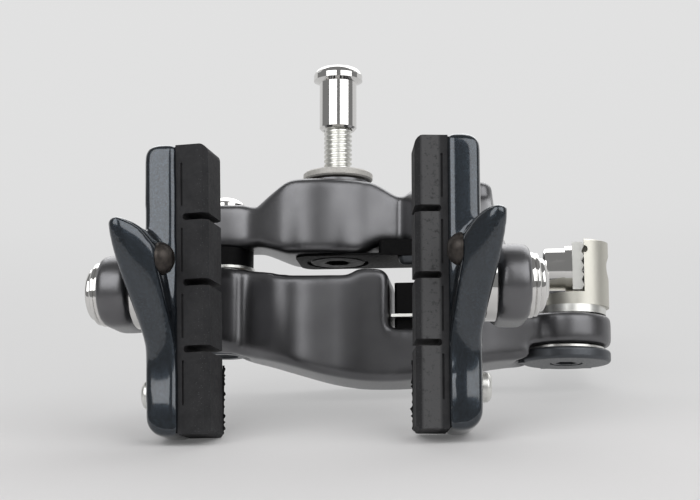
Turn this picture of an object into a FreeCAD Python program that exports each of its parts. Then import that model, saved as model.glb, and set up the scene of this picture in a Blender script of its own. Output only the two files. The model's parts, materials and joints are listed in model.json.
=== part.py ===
import FreeCAD, Part
import math
import os
import re
import Sketcher

# Dual-pivot caliper brake for a road bicycle, in millimetres.
# Z runs along the mounting bolt, away from the wheel gap's front; zero is the seat against the frame.
# X points to the cable side, Y points up when the brake hangs over the wheel.

os.makedirs("parts", exist_ok=True)
V = FreeCAD.Vector
doc = FreeCAD.newDocument("caliper_brake")

SIZES = [
    ("stud_dia", 6.0, "thread of the mounting bolt"),
    ("stud_length", 19.4, "thread standing out of the seat"),
    ("free_stud", 9.3, "stud between the seat and the nut"),
    ("thread_relief", 0.3, "how far the thread inside the nut lies below the free stud"),
    ("shank_dia", 8.0, "pivot shank of the mounting bolt"),
    ("bolt_flange_dia", 12.0, "front flange of the mounting bolt"),
    ("bolt_flange_thick", 1.7, "front flange of the mounting bolt"),
    ("hex_key", 5.0, "key of the mounting bolt and its nut"),
    ("seat_washer_dia", 14.7, "grey washer against the frame"),
    ("seat_washer_thick", 1.6, "grey washer against the frame"),
    ("nut_body_dia", 7.9, "sleeve of the recessed nut"),
    ("nut_body_length", 10.8, "sleeve of the recessed nut"),
    ("nut_flange_dia", 10.4, "flange of the recessed nut"),
    ("nut_flange_thick", 1.1, "flange of the recessed nut"),
    ("nut_dome", 1.6, "rise of the nut's end over the flange"),
    ("running_gap", 0.05, "radial clearance of a shaft in its bush"),
    ("side_gap", 0.3, "clearance beside a turning arm"),
    ("bush_wall", 1.0, "wall of the plain bushes"),
    ("rear_top", -3.1, "rear arm, top of its middle"),
    ("rear_bottom", -18.7, "rear arm, underside of its middle"),
    ("neck_dia", 12.8, "collar of the rear arm under the washer"),
    ("pivot_x", -24.0, "side pivot, across"),
    ("ear_top", -7.2, "rear arm, top of the ear"),
    ("ear_bottom", -16.35, "rear arm, underside of the ear"),
    ("ear_radius", 6.3, "rear arm, ear"),
    ("pivot_dia", 6.0, "side pivot bolt"),
    ("pivot_head_dia", 8.4, "side pivot bolt, head"),
    ("spacer_dia", 12.0, "black spacer on the side pivot"),
    ("spacer_length", 3.85, "black spacer on the side pivot"),
    ("thin_washer", 0.55, "thickness of the thin washers"),
    ("front_ear_length", 17.75, "front arm, depth of its ear"),
    ("front_ear_radius", 7.0, "front arm, ear"),
    ("front_low", -45.4, "front arm, lowest line"),
    ("ring_x", 47.4, "quick release axis, across"),
    ("ring_y", 2.0, "quick release axis, up"),
    ("ring_radius", 9.25, "ring at the end of the front arm"),
    ("ring_top", -31.4, "ring, upper face"),
    ("ring_bottom", -37.6, "ring, lower face"),
    ("end_x_right", 37.1, "middle of the right arm end, across"),
    ("end_x_left", 36.1, "middle of the left arm end, across"),
    ("reach", 44.0, "shoe bolt below the mounting bolt"),
    ("end_z_right", -32.2, "right shoe bolt in front of the seat"),
    ("end_z_left", -32.6, "left shoe bolt in front of the seat"),
    ("end_thick", 6.1, "thickness of an arm end"),
    ("end_radius_right", 7.1, "half height of the right arm end"),
    ("end_radius_left", 6.7, "half height of the left arm end"),
    ("reach_slot", 4.0, "travel of the shoe bolt in its slot"),
    ("tilt_right", 8.0, "lean of the right shoe with the arms open, degrees"),
    ("tilt_left", 6.5, "lean of the left shoe with the arms open, degrees"),
    ("toe", 1.4, "left shoe turned in at its front, degrees"),
    ("toe_room", 0.5, "radial room round the shoe bolt, so that the shoe can be turned"),
    ("shoe_bolt_dia", 6.0, "shoe bolt"),
    ("shoe_head_dia", 10.0, "shoe bolt, head"),
    ("shoe_washer_dia", 12.4, "outer washer of the shoe bolt"),
    ("shoe_washer_thick", 2.0, "outer washer of the shoe bolt"),
    ("concave_dia", 13.8, "concave washer"),
    ("convex_dia", 12.4, "convex washer"),
    ("concave_thick", 1.9, "concave washer"),
    ("ball_radius", 16.0, "ball face between the two washers"),
    ("ball_rise", 1.75, "top of the ball face over the holder's boss"),
    ("holder_boss", 0.6, "boss of the holder under the washers"),
    ("holder_back", 6.2, "back of the holder from the arm end's middle"),
    ("holder_face", 12.0, "front of the holder from the arm end's middle"),
    ("holder_height", 11.8, "holder, up the rim"),
    ("shoe_length", 54.8, "holder and pad, along the rim"),
    ("wing_reach", 10.6, "wheel guide, reach below the holder"),
    ("wing_flare", 4.4, "wheel guide, flare away from the wheel"),
    ("wing_inset", 2.6, "wheel guide, its inner wall from the holder's front"),
    ("wing_wall", 6.6, "wheel guide, depth of its inner wall"),
    ("holder_corner", 3.4, "outer corner at the holder's front end"),
    ("pad_face", 18.1, "rubbing face from the arm end's middle"),
    ("pad_height", 10.2, "rubber pad, up the rim"),
    ("pad_root_height", 8.6, "part of the pad held in the holder"),
    ("pad_root_depth", 2.2, "part of the pad held in the holder"),
    ("groove_width", 1.3, "water groove of the pad"),
    ("groove_pitch", 12.5, "water groove of the pad"),
    ("groove_depth", 5.0, "water groove of the pad"),
    ("pad_bevel", 1.0, "bevel along the rubbing face"),
    ("pad_line", 0.4, "moulded line beside the holder, width and depth"),
    ("guide_screw_dia", 6.2, "dome screw on the wheel guide"),
    ("pad_screw_dia", 5.6, "screw that holds the pad"),
    ("post_x", 49.7, "anchor post, across"),
    ("post_radius", 6.85, "anchor post, base"),
    ("post_base", 2.6, "anchor post, base"),
    ("post_wall", 5.1, "anchor post, wall behind the cable"),
    ("post_height", 14.6, "anchor post over the washer"),
    ("post_pin_dia", 8.0, "anchor post, pin in the ring"),
    ("tab_washer", 1.6, "washer with a tab under the post"),
    ("clamp_z", -21.1, "clamp screw"),
    ("clamp_screw_dia", 5.0, "clamp screw"),
    ("clamp_head_dia", 8.9, "clamp screw, head"),
    ("clamp_head_length", 4.6, "clamp screw, head"),
    ("clamp_washer_thick", 1.5, "washer under the clamp screw's head"),
    ("clamp_plate_thick", 2.4, "toothed plate of the cable clamp"),
    ("lever_thick", 2.5, "release lever"),
    ("paddle_length", 25.0, "release lever, from its axis"),
    ("cable_x", 51.4, "cable line, across"),
    ("cable_z", -18.0, "cable line, in front of the seat"),
    ("stop_bottom", 36.5, "cable stop on the rear arm, lower face"),
    ("stop_length", 10.0, "cable stop on the rear arm"),
    ("stop_dia", 12.0, "cable stop on the rear arm"),
    ("barrel_dia", 6.0, "adjuster barrel, thread"),
    ("barrel_length", 21.0, "adjuster barrel"),
    ("housing_dia", 5.2, "socket for the cable housing"),
    ("housing_depth", 8.0, "socket for the cable housing"),
    ("cable_hole", 2.2, "hole for the inner cable"),
    ("adjust_ring_dia", 11.0, "adjuster ring"),
    ("adjust_ring_length", 5.0, "adjuster ring"),
    ("flute_radius", 1.1, "finger flutes of the adjuster ring"),
    ("wire_dia", 1.8, "return spring"),
    ("centring_dia", 3.2, "centring screw"),
    ("edge_round", 1.1, "rounding of the forged arms"),
]

sheet = doc.addObject("Spreadsheet::Sheet", "Sizes")
for row, (alias, value, note) in enumerate(SIZES, start=1):
    sheet.set(f"A{row}", note)
    sheet.set(f"B{row}", str(value))
    sheet.setAlias(f"B{row}", alias)
doc.recompute()

ALIASES = {alias for alias, value, note in SIZES}
pieces = {}


def size(text):
    """Value of a formula over the sheet's sizes."""
    return float(sheet.evalExpression(str(text)))


def bound(text):
    """The same formula as an expression for a property outside the sheet."""
    def prefix(found):
        word = found.group(0)
        return "Sizes." + word if word in ALIASES else word
    return re.sub(r"[a-z_]+", prefix, str(text))


def keep(node, thing, place=None):
    """Name a finished piece, put it in its place and list it for export."""
    thing.Label = node
    if place is not None:
        thing.Placement = place
    pieces[node] = thing
    return thing


def at(x, y, z, axis=V(0, 0, 1)):
    """Placement with the piece's own Z along the axis."""
    return FreeCAD.Placement(V(x, y, z), FreeCAD.Rotation(V(0, 0, 1), axis))


def plane(body, role):
    """One of the body's own origin planes."""
    return [item for item in body.Origin.OriginFeatures if item.Role == role][0]


def arc_between(start, end, radius, side):
    """Arc of a given radius; side is +1 when it bulges to the right of the walk, -1 to the left."""
    chord = end - start
    half = chord.Length / 2
    normal = V(chord.y, -chord.x, 0).normalize()
    rise = math.sqrt(max(radius * radius - half * half, 0))
    centre = (start + end) / 2 - normal * rise * side
    first, last = (start, end) if side > 0 else (end, start)
    begin = math.atan2(first.y - centre.y, first.x - centre.x)
    finish = math.atan2(last.y - centre.y, last.x - centre.x)
    return Part.ArcOfCircle(Part.Circle(centre, V(0, 0, 1), radius), begin, finish)


def outline(body, role, corners, name):
    """Closed sketch through the corners; a corner with (radius, side) starts an arc."""
    sketch = body.newObject("Sketcher::SketchObject", name)
    sketch.AttachmentSupport = [(plane(body, role), "")]
    sketch.MapMode = "FlatFace"
    spots = [V(size(corner[0]), size(corner[1]), 0) for corner in corners]
    ends = []
    for index, corner in enumerate(corners):
        start = spots[index]
        end = spots[(index + 1) % len(spots)]
        if len(corner) == 2:
            sketch.addGeometry(Part.LineSegment(start, end), False)
            ends.append((1, 2))
        else:
            sketch.addGeometry(arc_between(start, end, size(corner[2]), corner[3]), False)
            ends.append((1, 2) if corner[3] > 0 else (2, 1))
    for index in range(len(corners)):
        after = (index + 1) % len(corners)
        sketch.addConstraint(Sketcher.Constraint("Coincident", index, ends[index][1], after, ends[after][0]))
    for index, corner in enumerate(corners):
        spot = spots[index]
        for kind, text, value in (("DistanceX", corner[0], spot.x), ("DistanceY", corner[1], spot.y)):
            number = sketch.addConstraint(Sketcher.Constraint(kind, -1, 1, index, ends[index][0], value))
            sketch.setExpression(f"Constraints[{number}]", bound(text))
        if len(corner) > 2:
            number = sketch.addConstraint(Sketcher.Constraint("Radius", index, size(corner[2])))
            sketch.setExpression(f"Constraints[{number}]", bound(corner[2]))
    return sketch


def turned(node, corners):
    """Turned piece; corners are (radius, height) round its own Z axis."""
    body = doc.addObject("PartDesign::Body", node)
    sketch = outline(body, "XZ_Plane", corners, node + "_profile")
    turn = body.newObject("PartDesign::Revolution", node + "_turn")
    turn.Profile = sketch
    turn.ReferenceAxis = (sketch, ["V_Axis"])
    turn.Angle = 360
    doc.recompute()
    return body


def padded(node, corners, height, role="XY_Plane", middle=False):
    """Plate cut from an outline."""
    body = doc.addObject("PartDesign::Body", node)
    sketch = outline(body, role, corners, node + "_outline")
    pad = body.newObject("PartDesign::Pad", node + "_pad")
    pad.Profile = sketch
    pad.setExpression("Length", bound(height))
    if middle:
        pad.SideType = "Symmetric"
    doc.recompute()
    return body


def socket(body, across, bottom, depth):
    """Hexagon socket, across its flats, upwards from a height."""
    cut = body.newObject("PartDesign::SubtractivePrism", body.Name + "_socket")
    cut.Polygon = 6
    cut.setExpression("Circumradius", bound(f"({across}) / 1.7320508"))
    cut.setExpression("Height", bound(depth))
    cut.AttachmentSupport = [(plane(body, "XY_Plane"), "")]
    cut.MapMode = "FlatFace"
    cut.AttachmentOffset = at(0, 0, size(bottom))
    doc.recompute()
    return cut


def slot_cut(body, length, width, bottom, depth):
    """Straight screwdriver slot, upwards from a height."""
    cut = body.newObject("PartDesign::SubtractiveBox", body.Name + "_slot")
    cut.Length = length
    cut.Width = width
    cut.Height = depth
    cut.AttachmentSupport = [(plane(body, "XY_Plane"), "")]
    cut.MapMode = "FlatFace"
    cut.AttachmentOffset = at(-length / 2, -width / 2, size(bottom))
    doc.recompute()
    return cut


SOFT = "as round as its two sides allow"


def rounded_wire(corners):
    """Closed outline with rounded corners (across, along, radius); SOFT is the largest arc."""
    spots = [V(x, y, 0) for x, y, radius in corners]
    edges = []
    starts, stops = [], []
    for index, (x, y, radius) in enumerate(corners):
        here = spots[index]
        to_last = spots[index - 1] - here
        to_next = spots[(index + 1) % len(spots)] - here
        shorter = min(to_last.Length, to_next.Length)
        back = to_last.normalize()
        ahead = to_next.normalize()
        half = math.acos(max(-1, min(1, back.dot(ahead)))) / 2
        if radius == SOFT:
            radius = 0.49 * shorter * math.tan(half)
        cut = radius / math.tan(half)
        first = here + back * cut
        last = here + ahead * cut
        starts.append(first)
        stops.append(last)
        if radius > 0:
            middle_way = (back + ahead).normalize()
            middle = here + middle_way * (radius / math.sin(half) - radius)
            edges.append((index, Part.Arc(first, middle, last).toShape()))
    ordered = []
    for index in range(len(corners)):
        ordered += [edge for number, edge in edges if number == index]
        after = (index + 1) % len(corners)
        if (starts[after] - stops[index]).Length > 1e-6:
            ordered.append(Part.makeLine(stops[index], starts[after]))
    return Part.Wire(ordered)


def rounded_face(corners, turn):
    """Face inside a rounded outline, turned into its plane."""
    face = Part.Face(rounded_wire(corners))
    face.Placement = FreeCAD.Placement(V(), turn)
    return face


TO_PLAN = FreeCAD.Rotation()
TO_FRONT = FreeCAD.Rotation(V(1, 0, 0), V(0, 0, 1), V(0, -1, 0), "XZY")
TO_SIDE = FreeCAD.Rotation(V(0, 1, 0), V(0, 0, 1), V(1, 0, 0), "XZY")


def from_plan(corners, low, high):
    """Prism from an outline in X and Y."""
    face = rounded_face(corners, TO_PLAN)
    face.translate(V(0, 0, low))
    return face.extrude(V(0, 0, high - low))


def from_front(corners, near, far):
    """Prism from an outline in X and Z."""
    face = rounded_face(corners, TO_FRONT)
    face.translate(V(0, near, 0))
    return face.extrude(V(0, far - near, 0))


def from_side(corners, left, right):
    """Prism from an outline in Y and Z."""
    face = rounded_face(corners, TO_SIDE)
    face.translate(V(left, 0, 0))
    return face.extrude(V(right - left, 0, 0))


def cylinder(radius, length, spot, way=V(0, 0, 1)):
    """Plain cylinder from a spot along a way."""
    return Part.makeCylinder(radius, length, spot, way)


def rounded_all(shape, radius):
    """Round every edge of a simple solid."""
    return shape.makeFillet(radius, shape.Edges)


def feature(node, shape, place=None):
    """Keep a shape that was formed directly."""
    thing = doc.addObject("Part::Feature", node)
    thing.Shape = shape
    return keep(node, thing, place)


# Frequently used levels and spots

SEAT_LOW = -size("seat_washer_thick")
REAR_TOP = size("rear_top")
REAR_LOW = size("rear_bottom")
PIVOT = V(size("pivot_x"), 0, 0)
EAR_TOP = size("ear_top")
EAR_LOW = size("ear_bottom")
FRONT_TOP = EAR_LOW - size("spacer_length") - size("thin_washer") - size("side_gap")
FRONT_EAR_LOW = FRONT_TOP - size("front_ear_length")
RING = V(size("ring_x"), size("ring_y"), 0)
RING_TOP = size("ring_top")
RING_LOW = size("ring_bottom")
END_HALF = size("end_thick") / 2
ROUND = size("edge_round")


SIDE_WORD = {1: "right", -1: "left"}
BALL_OUT = size("holder_boss + ball_rise - holder_back - ball_radius")


def end_place(side):
    """Frame of an arm end: X outwards along the shoe bolt, Y up, Z along the rim."""
    word = SIDE_WORD[side]
    spot = V(side * size("end_x_" + word), -size("reach"), size("end_z_" + word))
    return FreeCAD.Placement(spot, FreeCAD.Rotation(V(0, 0, 1), side * size("tilt_" + word)))


def shoe_place(side):
    """Frame of a shoe: the arm end's, turned on the ball washers on the left side."""
    centre = V(side * BALL_OUT, 0, 0)
    turn = FreeCAD.Rotation(V(0, 1, 0), -size("toe") if side < 0 else 0)
    swivel = FreeCAD.Placement(V(), turn, centre)
    return end_place(side).multiply(swivel)


def on_bolt(side, out, up=0.0, along=0.0, outwards=True, frame_of=end_place):
    """Placement of a turned shoe piece, its axis along the shoe bolt."""
    frame = frame_of(side)
    spot = frame.multVec(V(side * out, up, along))
    way = frame.Rotation.multVec(V(side if outwards else -side, 0, 0))
    return at(spot.x, spot.y, spot.z, way)


def sided(shape, side, frame_of=end_place):
    """A shape made for the right arm end, put on either end."""
    if side < 0:
        shape = shape.mirror(V(0, 0, 0), V(1, 0, 0))
    shape.Placement = frame_of(side).multiply(shape.Placement)
    return shape


# Mounting bolt with its washer and nut

bolt_low = REAR_LOW - 0.5
shank = f"({SEAT_LOW - bolt_low})"
bolt = turned("mounting_bolt", [
    ("0", "0"), ("bolt_flange_dia / 2 - 0.5", "0"), ("bolt_flange_dia / 2", "0.5"),
    ("bolt_flange_dia / 2", "bolt_flange_thick"), ("shank_dia / 2", "bolt_flange_thick"),
    ("shank_dia / 2", f"{shank}"), ("stud_dia / 2 + 0.3", f"{shank}"),
    ("stud_dia / 2 + 0.3", f"{shank} + seat_washer_thick"), ("stud_dia / 2", f"{shank} + seat_washer_thick"),
    ("stud_dia / 2", f"{shank} + seat_washer_thick + free_stud"),
    ("stud_dia / 2 - thread_relief", f"{shank} + seat_washer_thick + free_stud"),
    ("stud_dia / 2 - thread_relief", f"{shank} + seat_washer_thick + stud_length - 0.8"),
    ("stud_dia / 2 - 0.8", f"{shank} + seat_washer_thick + stud_length"),
    ("0", f"{shank} + seat_washer_thick + stud_length")])
socket(bolt, "hex_key", "0", "3")
keep("mounting_bolt", bolt, at(0, 0, bolt_low))

washer = turned("seat_washer", [
    ("stud_dia / 2 + 0.3", "0"), ("seat_washer_dia / 2 - 0.3", "0"), ("seat_washer_dia / 2", "0.3"),
    ("seat_washer_dia / 2", "seat_washer_thick - 0.3"), ("seat_washer_dia / 2 - 0.3", "seat_washer_thick"),
    ("stud_dia / 2 + 0.3", "seat_washer_thick")])
keep("seat_washer", washer, at(0, 0, SEAT_LOW))

nut_end = "nut_body_length + nut_flange_thick + nut_dome"
nut_start = "free_stud + side_gap"
thread_end = f"stud_length - ({nut_start}) + 0.4"
nut = turned("recessed_nut", [
    ("stud_dia / 2 + running_gap", "0"), ("nut_body_dia / 2 - 0.4", "0"), ("nut_body_dia / 2", "0.4"),
    ("nut_body_dia / 2", "nut_body_length - 0.5"), ("nut_flange_dia / 2", "nut_body_length"),
    ("nut_flange_dia / 2", "nut_body_length + nut_flange_thick", "nut_dome + 0.6", 1),
    ("nut_flange_dia / 2 - nut_dome", nut_end), ("0", nut_end), ("0", thread_end),
    ("stud_dia / 2 + running_gap", thread_end)])
socket(nut, "hex_key", f"{thread_end} - 0.2", f"{nut_end} - ({thread_end}) + 0.4")
keep("recessed_nut", nut, at(0, 0, size(nut_start)))

# Rear arm: ear for the side pivot, middle on the bolt, limb to the right shoe, limb to the cable stop

end_x = size("end_x_right")
wide = end_x - 4.5
ear_round = size("ear_radius")
REACH = -size("reach")
middle_plan = [
    (PIVOT.x - ear_round, -ear_round, ear_round * 0.9), (-18.6, -6.0, 2.5), (-13.5, -3.4, SOFT),
    (-5.5, -11.4, SOFT), (8.5, -11.4, SOFT), (17.5, -4.4, SOFT), (24.0, -7.6, SOFT), (wide, -8.6, 2.5),
    (wide, 9.0, 5.0), (16.0, 10.5, SOFT), (-6.0, 9.8, SOFT), (-14.5, 4.6, SOFT),
    (PIVOT.x - ear_round, ear_round, ear_round * 0.9)]
middle_front = [
    (-34.0, EAR_TOP, 0), (-19.8, EAR_TOP, 2.0), (-16.6, EAR_TOP - 1.0, 2.0), (-9.0, REAR_TOP, 5.0),
    (8.0, REAR_TOP, 5.0), (13.4, REAR_TOP - 3.0, 4.5), (21.0, REAR_TOP - 0.9, 6.0),
    (wide + 2, REAR_TOP - 0.9, 0),
    (wide + 2, REAR_LOW + 2.8, 0), (9.4, REAR_LOW + 2.8, 2.2), (5.4, REAR_LOW + 0.1, 2.4),
    (-9.5, REAR_LOW, 6.0),
    (-16.0, EAR_LOW, 5.0), (-34.0, EAR_LOW, 0)]
middle = rounded_all(from_plan(middle_plan, -22, 0).common(from_front(middle_front, -14, 14)), ROUND)

limb_plan = [
    (15.0, 2.0, 0), (15.0, -6.0, 4.0), (21.5, -13.5, 10.0), (end_x - 7.2, REACH + 14.0, 14.0),
    (end_x - 4.7, REACH + 8.0, 0), (end_x + 2.2, REACH + 9.0, 0), (end_x + 1.0, REACH + 18.0, 14.0),
    (wide + 0.4, -10.0, 14.0), (wide - 0.4, 2.0, 0)]
end_top = size("end_z_right + end_radius_right")
end_low = size("end_z_right - end_radius_right")
limb_side = [
    (3.0, REAR_TOP - 1.5, 0), (-5.0, REAR_TOP - 1.5, 6.0), (REACH + 18.0, end_top, 10.0),
    (REACH + 4.0, end_top, 0),
    (REACH + 4.0, end_low + 2.0, 0), (REACH + 18.0, end_low + 5.0, 10.0), (-3.0, REAR_LOW + 2.6, 8.0),
    (3.0, REAR_LOW + 2.6, 0)]
limb = rounded_all(from_plan(limb_plan, -46, 0).common(from_side(limb_side, 10, 50)), ROUND)

stop_low = size("stop_bottom")
stop_high = stop_low + size("stop_length")
cable_x = size("cable_x")
cable_z = size("cable_z")
hook_plan = [
    (18.0, 0.0, 0), (wide, 0.0, 0), (wide, 10.0, 10.0), (30.0, 24.0, 9.0), (36.0, stop_low + 0.5, 9.0),
    (cable_x, stop_low + 0.5, 0), (cable_x, stop_high - 0.5, 0), (30.0, stop_high - 0.5, 14.0),
    (19.0, 27.0, 12.0), (18.0, 6.0, 0)]
hook_side = [
    (-2.0, REAR_TOP - 0.9, 0), (9.0, REAR_TOP - 0.9, 6.0), (28.0, cable_z + 5.4, 10.0),
    (stop_high + 2, cable_z + 5.4, 0), (stop_high + 2, cable_z - 5.4, 0), (28.0, cable_z - 5.4, 10.0),
    (9.0, REAR_LOW + 2.8, 8.0), (-2.0, REAR_LOW + 2.8, 0)]
hook = rounded_all(from_plan(hook_plan, -30, 0).common(from_side(hook_side, 10, 60)), ROUND)


def arm_end(side):
    """Flat end of an arm with the round bottom, formed for the right side."""
    r = size("end_radius_" + SIDE_WORD[side])
    face = rounded_face([(-r - 2.0, -r, r * 0.97), (-r - 2.0, r, r * 0.97), (14.0, r, 0),
                         (14.0, -r + 2.0, 0), (6.0, -r, 6.0)],
                        TO_SIDE)
    face.translate(V(-END_HALF, 0, 0))
    return rounded_all(face.extrude(V(2 * END_HALF, 0, 0)), ROUND)


def reach_cut():
    """Slot that lets the shoe bolt move along the arm end."""
    half = size("reach_slot") / 2
    r = size("shoe_bolt_dia") / 2 + 0.2
    face = rounded_face([(-half - r, -r, r * 0.999), (-half - r, r, r * 0.999),
                         (half + r, r, r * 0.999), (half + r, -r, r * 0.999)], TO_SIDE)
    face.translate(V(-10, 0, 0))
    return face.extrude(V(20, 0, 0))


stop = rounded_all(cylinder(size("stop_dia") / 2, size("stop_length"), V(cable_x, stop_low, cable_z),
                            V(0, 1, 0)), 0.6)
lug = from_plan([(21.5, -9.5, 2.0), (29.5, -9.5, 2.0), (29.5, -1.5, 2.0), (21.5, -1.5, 2.0)], -22.6, -12)
neck = cylinder(size("neck_dia") / 2, SEAT_LOW - size("side_gap") - REAR_TOP + 1, V(0, 0, REAR_TOP - 1))
right_end = sided(arm_end(1), 1)
rear = middle.fuse([limb, hook, stop, lug, neck, right_end]).removeSplitter()
bush_outer = size("shank_dia / 2 + running_gap + bush_wall")
centring = V(10, -5.5, -19.3)
flange_top = bolt_low + size("bolt_flange_thick")
bush_low = flange_top + size("side_gap")
rear = rear.cut([
    cylinder(bush_outer, 40, V(0, 0, -30)),
    cylinder(size("bolt_flange_dia") / 2 + 0.5, bush_low - REAR_LOW + 9, V(0, 0, REAR_LOW - 9)),
    cylinder(size("pivot_dia") / 2, 40, V(PIVOT.x, PIVOT.y, -30)),
    cylinder(size("barrel_dia") / 2 + size("running_gap"), 40, V(cable_x, 20, cable_z), V(0, 1, 0)),
    cylinder(size("centring_dia") / 2, 40, centring, V(1, 0, 0)),
    sided(reach_cut(), 1)])
feature("rear_arm", rear)

bush = turned("centre_bush", [
    ("shank_dia / 2 + running_gap", "0"), ("shank_dia / 2 + running_gap + bush_wall", "0"),
    ("shank_dia / 2 + running_gap + bush_wall", f"{SEAT_LOW - bush_low} - side_gap"),
    ("shank_dia / 2 + running_gap", f"{SEAT_LOW - bush_low} - side_gap")])
keep("centre_bush", bush, at(0, 0, bush_low))

# Side pivot

nut_depth = 3.0
pivot_low = FRONT_EAR_LOW + 0.6
pivot_shank = f"({EAR_TOP - pivot_low})"
pivot_bolt = turned("side_pivot_bolt", [
    ("0", "0"), ("pivot_dia / 2 - 0.5", "0"), ("pivot_dia / 2", "0.5"), ("pivot_dia / 2", pivot_shank),
    ("pivot_head_dia / 2", pivot_shank),
    ("pivot_head_dia / 2", f"{pivot_shank} + 0.7", "pivot_head_dia / 2", 1),
    ("pivot_head_dia / 2 - 2.1", f"{pivot_shank} + 2.2"), ("0", f"{pivot_shank} + 2.2")])
socket(pivot_bolt, "3", f"{pivot_shank} + 0.6", "2")
keep("side_pivot_bolt", pivot_bolt, at(PIVOT.x, PIVOT.y, pivot_low))

spacer = turned("side_pivot_spacer", [
    ("pivot_dia / 2", "0"), ("spacer_dia / 2", "0"), ("spacer_dia / 2", "spacer_length"),
    ("pivot_dia / 2", "spacer_length")])
keep("side_pivot_spacer", spacer, at(PIVOT.x, PIVOT.y, EAR_LOW - size("spacer_length")))

pivot_washer = turned("side_pivot_washer", [
    ("pivot_dia / 2", "0"), ("spacer_dia / 2 + 0.3", "0"), ("spacer_dia / 2 + 0.3", "thin_washer"),
    ("pivot_dia / 2", "thin_washer")])
keep("side_pivot_washer", pivot_washer, at(PIVOT.x, PIVOT.y, EAR_LOW - size("spacer_length + thin_washer")))

pivot_nut = turned("side_pivot_nut", [
    ("pivot_dia / 2", "0"), ("pivot_dia / 2 + 1.6", "0"), ("pivot_dia / 2 + 2", "0.4"),
    ("pivot_dia / 2 + 2", f"{nut_depth} - 0.3"), ("pivot_dia / 2", f"{nut_depth} - 0.3")])
keep("side_pivot_nut", pivot_nut, at(PIVOT.x, PIVOT.y, FRONT_EAR_LOW))

# Front arm: ear on the side pivot, beam under the bolt, ring for the quick release, limb to the left shoe

front_low = size("front_low")
ear = size("front_ear_radius")
ring_radius = size("ring_radius")
beam_plan = [
    (PIVOT.x - ear, -ear, ear * 0.85), (-18.4, -6.8, 2.8), (-13.5, -3.6, SOFT), (-5.0, -12.6, SOFT),
    (13.0, -13.0, SOFT),
    (30.0, -6.5, SOFT), (RING.x, RING.y - ring_radius + 2, 0), (RING.x, RING.y + ring_radius - 2, 0),
    (30.0, 9.0, SOFT), (2.0, 8.0, SOFT), (-14.0, 4.8, SOFT), (PIVOT.x - ear, ear, ear * 0.85)]
notch_low = -34.6
beam_front = [
    (PIVOT.x - ear - 2, FRONT_TOP, 0), (-20.0, FRONT_TOP, SOFT), (-8.5, FRONT_TOP - 2.9, SOFT),
    (3.0, FRONT_TOP - 2.7, 2.0), (5.4, FRONT_TOP - 1.2, 2.0), (11.4, FRONT_TOP - 1.2, 2.4),
    (11.4, notch_low, 1.0),
    (21.0, notch_low, 2.0), (25.0, RING_TOP + 1.6, 2.0), (35.0, RING_TOP + 1.6, 4.0),
    (39.0, RING_TOP - 0.3, 3.0),
    (RING.x, RING_TOP - 0.3, 0), (RING.x, RING_LOW - 3.0, 0), (40.0, RING_LOW - 3.0, 6.0),
    (30.5, front_low + 4.2, SOFT), (17.5, front_low, SOFT), (2.5, front_low, SOFT),
    (-15.0, front_low + 5.0, 14.0),
    (-21.0, FRONT_EAR_LOW, 4.0), (PIVOT.x - ear - 2, FRONT_EAR_LOW, 0)]
beam = rounded_all(from_plan(beam_plan, -50, -18).common(from_front(beam_front, -14, 14)), ROUND)
ring = rounded_all(cylinder(ring_radius, RING_TOP - RING_LOW, V(RING.x, RING.y, RING_LOW)), 0.6)
left_x = -size("end_x_left")
left_plan = [
    (-18.5, 0.0, 0), (-18.5, -5.0, 3.0), (-24.5, -15.0, 10.0), (left_x + 7.2, REACH + 14.0, 14.0),
    (left_x + 5.0, REACH + 8.0, 0), (left_x - 1.6, REACH + 9.0, 0), (left_x - 0.4, REACH + 18.0, 14.0),
    (PIVOT.x - ear - 2.2, -10.0, 14.0),
    (PIVOT.x - ear + 0.4, 0.0, 0)]
left_top = size("end_z_left + end_radius_left")
left_low = size("end_z_left - end_radius_left")
left_side = [
    (3.0, FRONT_TOP, 0), (-8.0, FRONT_TOP, 8.0), (REACH + 17.0, left_top, 10.0), (REACH + 4.0, left_top, 0),
    (REACH + 4.0, left_low + 2.0, 0), (REACH + 22.0, left_low + 4.8, 10.0), (-6.0, FRONT_EAR_LOW, 6.0),
    (3.0, FRONT_EAR_LOW, 0)]
left_limb = rounded_all(from_plan(left_plan, -50, -18).common(from_side(left_side, -50, -10)), ROUND)
front = beam.fuse([ring, left_limb, sided(arm_end(-1), -1)]).removeSplitter()
front_bush_outer = size("pivot_dia / 2 + running_gap + bush_wall")
tab_radius = ring_radius + 1.2
nub_radius = ring_radius + 1.2
front = front.cut([
    cylinder(size("pivot_dia") / 2 + 2.4, nut_depth + 9, V(PIVOT.x, PIVOT.y, FRONT_EAR_LOW - 9)),
    cylinder(tab_radius, 20, V(RING.x, RING.y, RING_TOP)),
    cylinder(nub_radius, 20, V(RING.x, RING.y, RING_LOW - 20)),
    cylinder(front_bush_outer, 40, V(PIVOT.x, PIVOT.y, -50)),
    cylinder(size("post_pin_dia") / 2 + size("running_gap"), 40, V(RING.x, RING.y, -50)),
    sided(reach_cut(), -1)])
feature("front_arm", front)

bush = turned("front_bush", [
    ("pivot_dia / 2 + running_gap", "0"), ("pivot_dia / 2 + running_gap + bush_wall", "0"),
    ("pivot_dia / 2 + running_gap + bush_wall", f"front_ear_length - {nut_depth}"),
    ("pivot_dia / 2 + running_gap", f"front_ear_length - {nut_depth}")])
keep("front_bush", bush, at(PIVOT.x, PIVOT.y, FRONT_EAR_LOW + nut_depth))

# Spring between the arms: holder under the rear arm, wire, seat in the notch of the front arm

spring_path = [V(16.4, 5.2, REAR_LOW + 1), V(16.4, 5.2, notch_low + 10.8), V(15.0, 1.0, notch_low + 7.9),
               V(15.0, -4.6, notch_low + 7.9)]


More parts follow.
